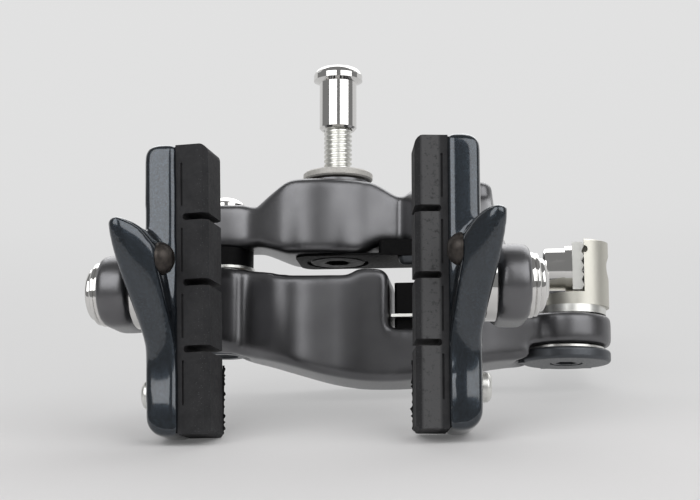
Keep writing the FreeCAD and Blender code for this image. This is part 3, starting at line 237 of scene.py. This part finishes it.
def satin_nickel():
    """Satin nickel on a turned post: warm and pale with a wide soft shine."""
    material, tree, shader = new_material("satin champagne nickel", "#cfcdc4", 1.0, 0.45)
    place = add(tree, "TexCoord").outputs["Object"]
    brushed = add(tree, "TexNoise", {"Scale": per(0.3), "Detail": 2.0}, {"Vector": place})
    rough = add(tree, "MapRange",
                {"From Min": 0.3, "From Max": 0.7, "To Min": 0.41, "To Max": 0.5},
                {"Value": brushed.outputs["Fac"]})
    tree.links.new(rough.outputs["Result"], shader.inputs["Roughness"])
    return material


def turned_washer():
    """Turned aluminium left matte: light grey with a fine tooth that grips the frame."""
    material, tree, shader = new_material("matte turned aluminium", "#b5b4b0", 0.35, 0.6)
    place = add(tree, "TexCoord").outputs["Object"]
    tooth = add(tree, "TexNoise", {"Scale": per(0.35), "Detail": 2.0}, {"Vector": place})
    colour = add(tree, "ValToRGB", links={"Fac": tooth.outputs["Fac"]},
                 stops=[(0.3, "#b9b7b2"), (0.7, "#c9c7c2")])
    tree.links.new(colour.outputs["Color"], shader.inputs["Base Color"])
    return material


def black_paint():
    """Steel with satin black paint: an even soft sheen over a faint orange peel."""
    material, tree, shader = new_material("satin black painted steel", "#54575b", 0.7, 0.38)
    place = add(tree, "TexCoord").outputs["Object"]
    peel = add(tree, "TexNoise", {"Scale": per(0.5), "Detail": 2.0}, {"Vector": place})
    rough = add(tree, "MapRange",
                {"From Min": 0.3, "From Max": 0.7, "To Min": 0.34, "To Max": 0.46},
                {"Value": peel.outputs["Fac"]})
    bump = add(tree, "Bump", {"Strength": 0.5, "Distance": 0.01 * MM},
               {"Height": peel.outputs["Fac"]})
    tree.links.new(rough.outputs["Result"], shader.inputs["Roughness"])
    tree.links.new(bump.outputs["Normal"], shader.inputs["Normal"])
    return material


def oiled_steel():
    """Steel blackened in oil: a dead black that only dimly shines."""
    material, tree, shader = new_material(
        "oil-blackened steel", "#0c0c0d", 0.2, 0.5, specular_ior_level=0.25)
    place = add(tree, "TexCoord").outputs["Object"]
    stain = add(tree, "TexNoise", {"Scale": per(1.2), "Detail": 3.0}, {"Vector": place})
    rough = add(tree, "MapRange",
                {"From Min": 0.3, "From Max": 0.7, "To Min": 0.44, "To Max": 0.6},
                {"Value": stain.outputs["Fac"]})
    tree.links.new(rough.outputs["Result"], shader.inputs["Roughness"])
    return material


def black_acetal():
    """Moulded black acetal: dark and slightly waxy."""
    material, tree, shader = new_material(
        "moulded black acetal", "#070708", 0.0, 0.55, specular_ior_level=0.1)
    place = add(tree, "TexCoord").outputs["Object"]
    wax = add(tree, "TexNoise", {"Scale": per(0.6), "Detail": 2.0}, {"Vector": place})
    rough = add(tree, "MapRange",
                {"From Min": 0.3, "From Max": 0.7, "To Min": 0.5, "To Max": 0.62},
                {"Value": wax.outputs["Fac"]})
    tree.links.new(rough.outputs["Result"], shader.inputs["Roughness"])
    return material


def bronze_plate():
    """Steel screw with a brown-grey plate, rubbed dull on its dome."""
    material, tree, shader = new_material("bronze-grey plated steel", "#3f3b37", 0.75, 0.42)
    place = add(tree, "TexCoord").outputs["Object"]
    rubbed = add(tree, "TexNoise", {"Scale": per(0.8), "Detail": 3.0}, {"Vector": place})
    colour = add(tree, "ValToRGB", links={"Fac": rubbed.outputs["Fac"]},
                 stops=[(0.3, "#363230"), (0.7, "#47423e")])
    tree.links.new(colour.outputs["Color"], shader.inputs["Base Color"])
    return material


def bearing_brass():
    """Turned bearing brass: yellow, with a soft turned shine."""
    material, tree, shader = new_material("turned bearing brass", "#b08d4c", 1.0, 0.3)
    place = add(tree, "TexCoord").outputs["Object"]
    marks = add(tree, "TexNoise", {"Scale": per(0.35), "Detail": 2.0}, {"Vector": place})
    rough = add(tree, "MapRange",
                {"From Min": 0.3, "From Max": 0.7, "To Min": 0.25, "To Max": 0.38},
                {"Value": marks.outputs["Fac"]})
    tree.links.new(rough.outputs["Result"], shader.inputs["Roughness"])
    return material


def black_anodised():
    """Turned aluminium anodised near black: a dim metal sheen."""
    material, tree, shader = new_material("dark anodised turned aluminium", "#3a3a3d", 0.9, 0.35)
    place = add(tree, "TexCoord").outputs["Object"]
    marks = add(tree, "TexNoise", {"Scale": per(0.35), "Detail": 2.0}, {"Vector": place})
    rough = add(tree, "MapRange",
                {"From Min": 0.3, "From Max": 0.7, "To Min": 0.3, "To Max": 0.42},
                {"Value": marks.outputs["Fac"]})
    tree.links.new(rough.outputs["Result"], shader.inputs["Roughness"])
    return material


FINISHES = {
    "arm_paint": blasted_aluminium(),
    "holder_paint": pearl_lacquer(),
    "pad_rubber": worn_rubber(),
    "chrome": chromium_plate(),
    "zinc": zinc_plate(),
    "nickel": satin_nickel(),
    "grey_washer": turned_washer(),
    "black_steel": black_paint(),
    "black_plastic": black_acetal(),
    "bronze_screw": bronze_plate(),
    "brass": bearing_brass(),
    "anodised": black_anodised(),
}


def dress(thing, slot):
    """Give an object the finish of a slot."""
    if thing.material_slots:
        for place in thing.material_slots:
            place.material = FINISHES[slot]
    else:
        thing.data.materials.append(FINISHES[slot])


for subpart in frame["record"]["subparts"]:
    dress(NODES[subpart["node"]], subpart["material_slot"])


def piece(name, form, slot, body, sharp=30.0):
    """Finished bmesh as a piece that rides on a body, smooth up to an angle in degrees."""
    for face in form.faces:
        face.smooth = True
    mesh = bpy.data.meshes.new(name)
    form.to_mesh(mesh)
    form.free()
    mesh.set_sharp_from_angle(angle=math.radians(sharp))
    thing = bpy.data.objects.new(name, mesh)
    bpy.context.collection.objects.link(thing)
    thing.data.materials.append(FINISHES[slot])
    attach(thing, body)
    return thing


def of_kind(items, kind):
    """Those of an operator's results that are points, edges or faces."""
    return [item for item in items if isinstance(item, kind)]


# Thread of the mounting bolt: its radii, and where its flanks begin and end as shares of the pitch
THREAD_PITCH = 1.0 * MM
THREAD_CREST = 2.98 * MM
THREAD_ROOT = 2.52 * MM
THREAD_LINE = (
    (THREAD_ROOT, 0.0), (THREAD_ROOT, 0.12), (THREAD_CREST, 0.44), (THREAD_CREST, 0.68))
THREAD_START = -0.3 * MM     # height at which the blackened foot ends, inside the seat washer
THREAD_STEPS = 48            # steps in one turn
THREAD_LEAD = 2              # turns that begin below the start and are cut off
THREAD_END = 0.05 * MM       # how far below the solid's tip the thread is cut


def cut_off(form, height, outwards):
    """Cut a form at a height, drop what lies outwards and close the cut."""
    everything = form.verts[:] + form.edges[:] + form.faces[:]
    cut = bmesh.ops.bisect_plane(
        form, geom=everything, plane_co=(0, 0, height), plane_no=(0, 0, outwards), clear_outer=True)
    bmesh.ops.edgenet_fill(form, edges=of_kind(cut["geom_cut"], bmesh.types.BMEdge))


def threaded_bolt():
    """Mounting bolt with a real thread: the solid's blackened foot, and a screw for its stud."""
    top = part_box("mounting_bolt")[1].z
    form = bmesh.new()
    form.from_mesh(NODES["mounting_bolt"].data)
    bmesh.ops.remove_doubles(form, verts=form.verts, dist=WELD)
    cut_off(form, THREAD_START, 1)
    for face in form.faces:
        face.material_index = 1

    screw = bmesh.new()
    turns = math.ceil((top - THREAD_START) / THREAD_PITCH) + THREAD_LEAD
    line = []
    for turn in range(turns):
        for radius, part in THREAD_LINE:
            height = THREAD_START + (turn - THREAD_LEAD + part) * THREAD_PITCH
            line.append(screw.verts.new((radius, 0, height)))
    height = THREAD_START + (turns - THREAD_LEAD) * THREAD_PITCH
    line.append(screw.verts.new((THREAD_ROOT, 0, height)))
    edges = [screw.edges.new(pair) for pair in zip(line, line[1:])]
    bmesh.ops.spin(
        screw, geom=line + edges, cent=(0, 0, 0), axis=(0, 0, 1),
        dvec=(0, 0, THREAD_PITCH / THREAD_STEPS), angle=math.tau, steps=THREAD_STEPS,
        use_merge=False)
    bmesh.ops.remove_doubles(screw, verts=screw.verts, dist=2 * WELD)
    cut_off(screw, THREAD_START, -1)
    cut_off(screw, top - THREAD_END, 1)
    bmesh.ops.recalc_face_normals(screw, faces=screw.faces)
    thread = bpy.data.meshes.new("thread")
    screw.to_mesh(thread)
    screw.free()
    form.from_mesh(thread)
    bpy.data.meshes.remove(thread)
    bolt = piece("threaded_mounting_bolt", form, "zinc", "mount", 20.0)
    bolt.data.materials.append(oiled_steel())
    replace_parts(bolt, "mounting_bolt")


threaded_bolt()

# How a copy of a solid is eased: size of its cells in millimetres, rounds of smoothing, and
# millimetres that it is puffed out afterwards, because smoothing draws a form in
ARM_EASE = (0.5, 8, 0.14)
HOLDER_EASE = (0.3, 70, 0.3)


def eased(node, slot, body, cell_mm, rounds, puff_mm):
    """Copy of a cast or forged solid with eased edges, as tumbling and lacquer leave them."""
    form = bmesh.new()
    form.from_mesh(NODES[node].data)
    bmesh.ops.remove_doubles(form, verts=form.verts, dist=WELD)
    thing = piece("eased_" + node, form, slot, body)
    cells = thing.modifiers.new("cells", "REMESH")
    cells.mode = "VOXEL"
    cells.voxel_size = cell_mm * MM
    cells.use_smooth_shade = True
    ease = thing.modifiers.new("ease", "SMOOTH")
    ease.factor = 0.5
    ease.iterations = rounds
    puff = thing.modifiers.new("puff", "DISPLACE")
    puff.mid_level = 0.0
    puff.strength = puff_mm * MM
    ready = thing.evaluated_get(bpy.context.evaluated_depsgraph_get())
    smooth = bpy.data.meshes.new_from_object(ready)
    thing.modifiers.clear()
    thing.data = smooth
    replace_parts(thing, node)
    return thing


# Fronts of the arms in plan, as (x, y) in millimetres from the pivot's ear across the hump, and
# the height at which each arm's front is measured
REAR_FRONT = (
    (-26, -6.0), (-19, -6.0), (-14, -8.8), (-10, -10.65), (-5.5, -11.4), (0, -10.65), (4, -9.0),
    (8, -6.2), (12, -4.1), (14, -4.1), (16, -7.15))
REAR_LEVEL = -12
FRONT_FRONT = (
    (-26, -16.4), (-22, -9.0), (-19, -7.2), (-16, -8.7), (-12, -11.6), (-6.5, -12.95), (0, -12.35),
    (6, -10.8), (12, -9.9), (20, -9.1), (26, -8.2))
FRONT_LEVEL = -37

# Depths behind the front, in millimetres, between which the move fades out
HUMP_WHOLE = 2
HUMP_ENDS = 10
HUMP_ROUNDS = 8              # rounds of smoothing afterwards
BEFORE_ARMS = -80            # y in millimetres from which the fronts are sought


def slope_at(line, index):
    """Slope of a front line at one of its points."""
    before, after = line[max(index - 1, 0)], line[min(index + 1, len(line) - 1)]
    return (after[1] - before[1]) / (after[0] - before[0])


def front_at(line, x):
    """Height of the smooth curve through a front line's points, or nothing beyond its ends."""
    if not line[0][0] < x < line[-1][0]:
        return None
    index = max(number for number, point in enumerate(line[:-1]) if point[0] <= x)
    (x0, y0), (x1, y1) = line[index], line[index + 1]
    width = x1 - x0
    t = (x - x0) / width
    bend = (1 - t) * slope_at(line, index) - t * slope_at(line, index + 1)
    return ((1 + 2 * t) * (1 - t) ** 2 * y0 + t * t * (3 - 2 * t) * y1
            + width * t * (1 - t) * bend)


def hump(thing, line, level_mm):
    """Draw the front of an eased arm onto its plan line; what lies deep behind it stays."""
    form = bmesh.new()
    form.from_mesh(thing.data)
    tree = BVHTree.FromBMesh(form)
    for vert in form.verts:
        wanted = front_at(line, vert.co.x / MM)
        if wanted is None:
            continue
        start = Vector((vert.co.x, BEFORE_ARMS * MM, level_mm * MM))
        front = tree.ray_cast(start, Vector((0, 1, 0)))[0]
        if front is None:
            continue
        behind_mm = (vert.co.y - front.y) / MM
        deep = min(max((behind_mm - HUMP_WHOLE) / (HUMP_ENDS - HUMP_WHOLE), 0), 1)
        vert.co.y += (wanted * MM - front.y) * (1 - deep * deep * (3 - 2 * deep))
    for _ in range(HUMP_ROUNDS):
        bmesh.ops.smooth_vert(
            form, verts=form.verts, factor=0.5, use_axis_x=True, use_axis_y=True, use_axis_z=True)
    form.to_mesh(thing.data)
    form.free()


hump(eased("rear_arm", "arm_paint", "rear_arm", *ARM_EASE), REAR_FRONT, REAR_LEVEL)
hump(eased("front_arm", "arm_paint", "front_arm", *ARM_EASE), FRONT_FRONT, FRONT_LEVEL)
eased("shoe_holder_right", "holder_paint", "rear_arm", *HOLDER_EASE)
eased("shoe_holder_left", "holder_paint", "front_arm", *HOLDER_EASE)

TURN_STEPS = 96              # facets round a turned piece
TURN_CORNER = math.radians(25)    # edges that turn more than this are broken
TURN_EASE = 0.12 * MM        # by this much
KNURL_DRAW = 0.99            # share of its radius that a point of a grip mark keeps


def turned(profile, hexagon_mm=0.0, depth_mm=0.0):
    """Turned form round Z from a line of (radius, height) in millimetres.

    Where a hexagon is given, the last ring is opened to a socket of that size across its flats.
    """
    form = bmesh.new()
    line = [form.verts.new((radius * MM, 0, height * MM)) for radius, height in profile]
    edges = [form.edges.new(pair) for pair in zip(line, line[1:])]
    bmesh.ops.spin(
        form, geom=line + edges, cent=(0, 0, 0), axis=(0, 0, 1), angle=math.tau, steps=TURN_STEPS,
        use_merge=True)
    bmesh.ops.remove_doubles(form, verts=form.verts, dist=0.5 * WELD)
    if hexagon_mm:
        mouth = [edge for edge in form.edges if edge.is_boundary]
        top = Matrix.Translation((0, 0, profile[-1][1] * MM))
        made = bmesh.ops.create_circle(
            form, segments=6, radius=hexagon_mm * MM / math.sqrt(3), matrix=top)
        hexagon = list({edge for vert in made["verts"] for edge in vert.link_edges})
        bmesh.ops.bridge_loops(form, edges=mouth + hexagon)
        walls = bmesh.ops.extrude_edge_only(form, edges=hexagon)["geom"]
        floor = of_kind(walls, bmesh.types.BMVert)
        bmesh.ops.translate(form, verts=floor, vec=(0, 0, -depth_mm * MM))
        rim = [edge for edge in of_kind(walls, bmesh.types.BMEdge) if edge.is_boundary]
        bmesh.ops.edgenet_fill(form, edges=rim)
    bmesh.ops.recalc_face_normals(form, faces=form.faces)
    corners = [
        edge for edge in form.edges if edge.is_manifold and edge.calc_face_angle() > TURN_CORNER]
    bmesh.ops.bevel(
        form, geom=corners, offset=TURN_EASE, offset_type="OFFSET", segments=3, profile=0.5,
        affect="EDGES", clamp_overlap=True, material=-1)
    return form


def stand(form, spot_mm, way):
    """Put a turned form on its spot with its axis along a way."""
    turn = Vector((0, 0, 1)).rotation_difference(Vector(way)).to_matrix().to_4x4()
    place = Matrix.Translation(Vector(spot_mm) * MM)
    bmesh.ops.transform(form, verts=form.verts, matrix=place @ turn)


def knurl(form, low_mm, high_mm, reach_mm):
    """Fine grip marks round a ring: every second row of points drawn in a little."""
    for vert in form.verts:
        radius = math.hypot(vert.co.x, vert.co.y)
        row = round(math.atan2(vert.co.y, vert.co.x) / math.tau * TURN_STEPS)
        if low_mm * MM < vert.co.z < high_mm * MM and radius > reach_mm * MM and row % 2:
            vert.co.x *= KNURL_DRAW
            vert.co.y *= KNURL_DRAW


# Shoe bolt, as (radius, height) from its inner end: stem and rim of the head, its dome, and the
# mouth of its socket
SHOE_BOLT_STEM = [(0, 0), (3.0, 0), (3.0, 14.05), (5.0, 14.05)]
SHOE_BOLT_DOME = [
    (5.0 * math.cos(a), 14.65 + 1.2 * math.sin(a)) for a in (0.0, 0.25, 0.5, 0.75, 0.95)]
SHOE_BOLT_MOUTH = [(2.7, 15.85)]
SHOE_BOLT_KEY = 4.0          # hexagon key, across its flats
SHOE_BOLT_SOCKET = 2.2       # depth of the socket
SHOE_BOLT_INSIDE = 9.0       # from the middle of the arm's end to the bolt's inner end

# Outer washer, as (radius, height): a knurled ring and a narrower step
SHOE_WASHER = [
    (3.0, 0), (6.2, 0), (6.2, 0.85), (5.75, 1.0), (5.95, 1.15), (5.95, 1.7), (5.6, 2.0), (3.0, 2.0),
    (3.0, 0)]
SHOE_WASHER_KNURL = (0.05, 0.8, 5.9)
SHOE_WASHER_SEAT = 3.05      # from the middle of the arm's end to the washer


def shoe_fasteners(word, body, end_spot, lean, side):
    """Chromed head and outer washer of a shoe bolt."""
    way = Vector((side * math.cos(lean), math.sin(lean), 0))
    bolt = turned(
        SHOE_BOLT_STEM + SHOE_BOLT_DOME + SHOE_BOLT_MOUTH, SHOE_BOLT_KEY, SHOE_BOLT_SOCKET)
    stand(bolt, Vector(end_spot) - SHOE_BOLT_INSIDE * way, way)
    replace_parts(piece("chrome_shoe_bolt_" + word, bolt, "chrome", body), "shoe_bolt_" + word)
    washer = turned(SHOE_WASHER)
    knurl(washer, *SHOE_WASHER_KNURL)
    stand(washer, Vector(end_spot) + SHOE_WASHER_SEAT * way, way)
    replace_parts(piece("chrome_shoe_washer_" + word, washer, "chrome", body), "shoe_washer_" + word)


shoe_fasteners(
    "right", "rear_arm", end_spot=(37.1, -44.0, -32.2), lean=math.radians(8.0), side=1)
shoe_fasteners(
    "left", "front_arm", end_spot=(-36.1, -44.0, -32.6), lean=math.radians(6.5), side=-1)

# Boss under the seat washer, which easing melts away, as (radius, height)
BOSS = [(5.06, -5.0), (6.6, -5.0), (6.6, -1.95), (5.06, -1.95), (5.06, -5.0)]

piece("rear_arm_boss", turned(BOSS), "arm_paint", "rear_arm")

# Skin of rubber squeezed out of a pad, in millimetres
FLASH_STEPS = 40
FLASH_ROOT = 0.3             # how far inside the pad it begins
FLASH_REACH = 0.4            # how far it comes everywhere
FLASH_TEAR = 0.8             # how much further its longest tongues come
FLASH_TONGUES = 2.2          # tongues in a millimetre
FLASH_SKIN = 0.1             # its thickness


def flash(name, body, start, along_mm, outwards, seed):
    """Ragged skin of rubber squeezed out along a worn edge of a pad."""
    form = bmesh.new()
    root = start - Vector(outwards) * FLASH_ROOT * MM
    step_mm = Vector(along_mm) / FLASH_STEPS
    line = [form.verts.new(root + step_mm * MM * step) for step in range(FLASH_STEPS + 1)]
    edges = [form.edges.new(pair) for pair in zip(line, line[1:])]
    made = bmesh.ops.extrude_edge_only(form, edges=edges)
    for vert in of_kind(made["geom"], bmesh.types.BMVert):
        far = (vert.co - root).length / MM
        tongue = max(noise.noise(Vector((seed, FLASH_TONGUES * far, 0.0))), 0.0)
        vert.co += Vector(outwards) * (FLASH_REACH + FLASH_TEAR * tongue) * MM
    bmesh.ops.solidify(form, geom=form.faces[:], thickness=FLASH_SKIN * MM)
    bmesh.ops.recalc_face_normals(form, faces=form.faces)
    piece(name, form, "pad_rubber", body)


for word, body, inwards in (("right", "rear_arm", -1), ("left", "front_arm", 1)):
    # the lower front corner of the pad on the rim's side
    corner = max((vert.co for vert in NODES["brake_pad_" + word].data.vertices),
                 key=lambda co: 3 * inwards * co.x - 0.3 * co.y - co.z)
    flash("rim_flash_" + word, body, corner, along_mm=(0, 0, 13), outwards=(inwards, -0.3, 0),
          seed=3.7 + inwards)
    flash("end_flash_" + word, body, corner, along_mm=(-8 * inwards, 0, 0),
          outwards=(0, -0.3, -0.6), seed=8.2 + inwards)

# Paper sweep: lengths before and behind the pads, radius of its bend, wall and half width
SWEEP_BEFORE = 900 * MM
SWEEP_BEHIND = 420 * MM
SWEEP_BEND = 250 * MM
SWEEP_WALL = 900 * MM
SWEEP_HALF = 1500 * MM
SWEEP_STEPS = 16


def paper_sweep():
    """Pale paper: it catches the shadow near the brake, where a painted glow fills most of it in,
    and elsewhere shows its plain tone.
    """
    material, tree, shader = new_material(
        "pale paper sweep", "#d9d8d8", 0.0, 1.0, specular_ior_level=0.0)
    place = add(tree, "TexCoord").outputs["Object"]
    way = (0.0, math.cos(FLOOR_LEAN), math.sin(FLOOR_LEAN))
    along = add(tree, "VectorMath", {"operation": "DOT_PRODUCT", 1: way}, {0: place})
    back = along.outputs["Value"]

    # painted light: under the arms a glow of the plain tone fills in most of the cast shadow, so
    # that it shows faint, and the rest of the glow comes in well behind them
    near = add(tree, "MapRange", {
        "interpolation_type": "SMOOTHSTEP", "From Min": -85 * MM, "From Max": 15 * MM,
        "To Max": 0.8}, {"Value": back})
    rest = add(tree, "MapRange", {"From Min": 15 * MM, "From Max": 240 * MM, "To Max": 0.2},
               {"Value": back})
    behind = add(tree, "Math", {"operation": "ADD"}, {
        0: near.outputs["Result"], 1: rest.outputs["Result"]})
    # it comes in again towards the lamps, where their light no longer falls
    before = add(tree, "MapRange", {
        "interpolation_type": "SMOOTHSTEP", "From Min": -150 * MM, "From Max": -420 * MM},
        {"Value": back})
    plain = add(tree, "Math", {"operation": "MAXIMUM"}, {
        0: behind.outputs[0], 1: before.outputs["Result"]})

    # the camera, metal and glass see the plain tone
    ray = add(tree, "LightPath").outputs
    seen = add(tree, "Math", {"operation": "MAXIMUM"}, {
        0: ray["Is Camera Ray"], 1: ray["Is Glossy Ray"]})
    also = add(tree, "Math", {"operation": "MAXIMUM"}, {
        0: seen.outputs[0], 1: ray["Is Transmission Ray"]})
    share = add(tree, "Math", {"operation": "MULTIPLY"}, {
        0: also.outputs[0], 1: plain.outputs[0]})
    tone = add(tree, "MapRange", {"From Min": 60 * MM, "From Max": 700 * MM}, {"Value": back})
    paper = add(tree, "ValToRGB", links={"Fac": tone.outputs["Result"]},
                stops=[(0.0, "#d8d8d8"), (1.0, "#e4e4e4")])
    glow = add(tree, "Emission", {"Strength": 1.0}, {"Color": paper.outputs["Color"]})
    lit = add(tree, "MixShader", links={
        0: share.outputs[0], 1: shader.outputs["BSDF"], 2: glow.outputs["Emission"]})

    # from its back the paper is clear, so that it hides nothing in other views
    side = add(tree, "NewGeometry")
    clear = add(tree, "BsdfTransparent")
    choose = add(tree, "MixShader", links={
        0: side.outputs["Backfacing"], 1: lit.outputs["Shader"], 2: clear.outputs["BSDF"]})
    tree.links.new(choose.outputs["Shader"], tree.nodes["Material Output"].inputs["Surface"])
    return material


def sweep():
    """Pale floor that curves up into a backdrop, behind the leaning brake."""
    form = bmesh.new()
    line = [form.verts.new((-SWEEP_HALF, -SWEEP_BEFORE, 0)),
            form.verts.new((-SWEEP_HALF, SWEEP_BEHIND, 0))]
    for step in range(1, SWEEP_STEPS + 1):
        angle = math.pi / 2 * step / SWEEP_STEPS
        line.append(form.verts.new((
            -SWEEP_HALF, SWEEP_BEHIND + SWEEP_BEND * math.sin(angle),
            SWEEP_BEND * (1 - math.cos(angle)))))
    line.append(form.verts.new((-SWEEP_HALF, SWEEP_BEHIND + SWEEP_BEND, SWEEP_BEND + SWEEP_WALL)))
    edges = [form.edges.new(pair) for pair in zip(line, line[1:])]
    made = bmesh.ops.extrude_edge_only(form, edges=edges)
    across = of_kind(made["geom"], bmesh.types.BMVert)
    bmesh.ops.translate(form, verts=across, vec=(2 * SWEEP_HALF, 0, 0))
    for face in form.faces:
        face.smooth = True
    if form.faces[:][0].normal.z < 0:
        bmesh.ops.reverse_faces(form, faces=form.faces)
    place = Matrix.Translation(FLOOR_SPOT) @ Matrix.Rotation(FLOOR_LEAN, 4, "X")
    bmesh.ops.transform(form, verts=form.verts, matrix=place)
    mesh = bpy.data.meshes.new("floor")
    form.to_mesh(mesh)
    form.free()
    mesh.materials.append(paper_sweep())
    floor = bpy.data.objects.new("floor", mesh)
    bpy.context.collection.objects.link(floor)


sweep()

BRAKE_MIDDLE = Vector((5.0, -15.0, -25.0)) * MM


def soft_box(name, azimuth, elevation, distance_mm, width_mm, height_mm, power):
    """Large soft lamp at a bearing from the brake, in degrees, aimed at its middle."""
    lamp = bpy.data.lights.new(name, "AREA")
    lamp.shape = "RECTANGLE"
    lamp.size = width_mm * MM
    lamp.size_y = height_mm * MM
    lamp.energy = power
    thing = bpy.data.objects.new(name, lamp)
    turn, rise = math.radians(azimuth), math.radians(elevation)
    way = Vector((
        math.sin(turn) * math.cos(rise), -math.cos(turn) * math.cos(rise), math.sin(rise)))
    thing.location = BRAKE_MIDDLE + way * distance_mm * MM
    thing.rotation_euler = (-way).to_track_quat("-Z", "Y").to_euler()
    thing.visible_camera = False
    bpy.context.collection.objects.link(thing)


soft_box("left_softbox", azimuth=-27, elevation=24, distance_mm=650, width_mm=560, height_mm=480,
         power=2.0)
soft_box("right_softbox", azimuth=46, elevation=24, distance_mm=650, width_mm=640, height_mm=480,
         power=2.1)
soft_box("top_softbox", azimuth=175, elevation=54, distance_mm=600, width_mm=800, height_mm=600,
         power=2.6)

world = bpy.data.worlds.new("studio")
world.use_nodes = True
studio = world.node_tree.nodes["Background"]
studio.inputs["Color"].default_value = linear("#d8d8d8")
studio.inputs["Strength"].default_value = 0.36
bpy.context.scene.world = world

camera_data = bpy.data.cameras.new("camera")
camera_data.sensor_width = 36.0
camera_data.lens = FOCAL_PIXELS / PHOTO_WIDTH * camera_data.sensor_width
camera_data.clip_start = 0.01
camera = bpy.data.objects.new("camera", camera_data)
camera.location = CAMERA_PLACE
forward = -Vector((
    math.sin(CAMERA_AZIMUTH) * math.cos(CAMERA_ELEVATION),
    -math.cos(CAMERA_AZIMUTH) * math.cos(CAMERA_ELEVATION),
    math.sin(CAMERA_ELEVATION)))
camera.rotation_euler = forward.to_track_quat("-Z", "Y").to_euler()
bpy.context.collection.objects.link(camera)
bpy.context.scene.camera = camera

bpy.context.scene.view_settings.view_transform = "Standard"
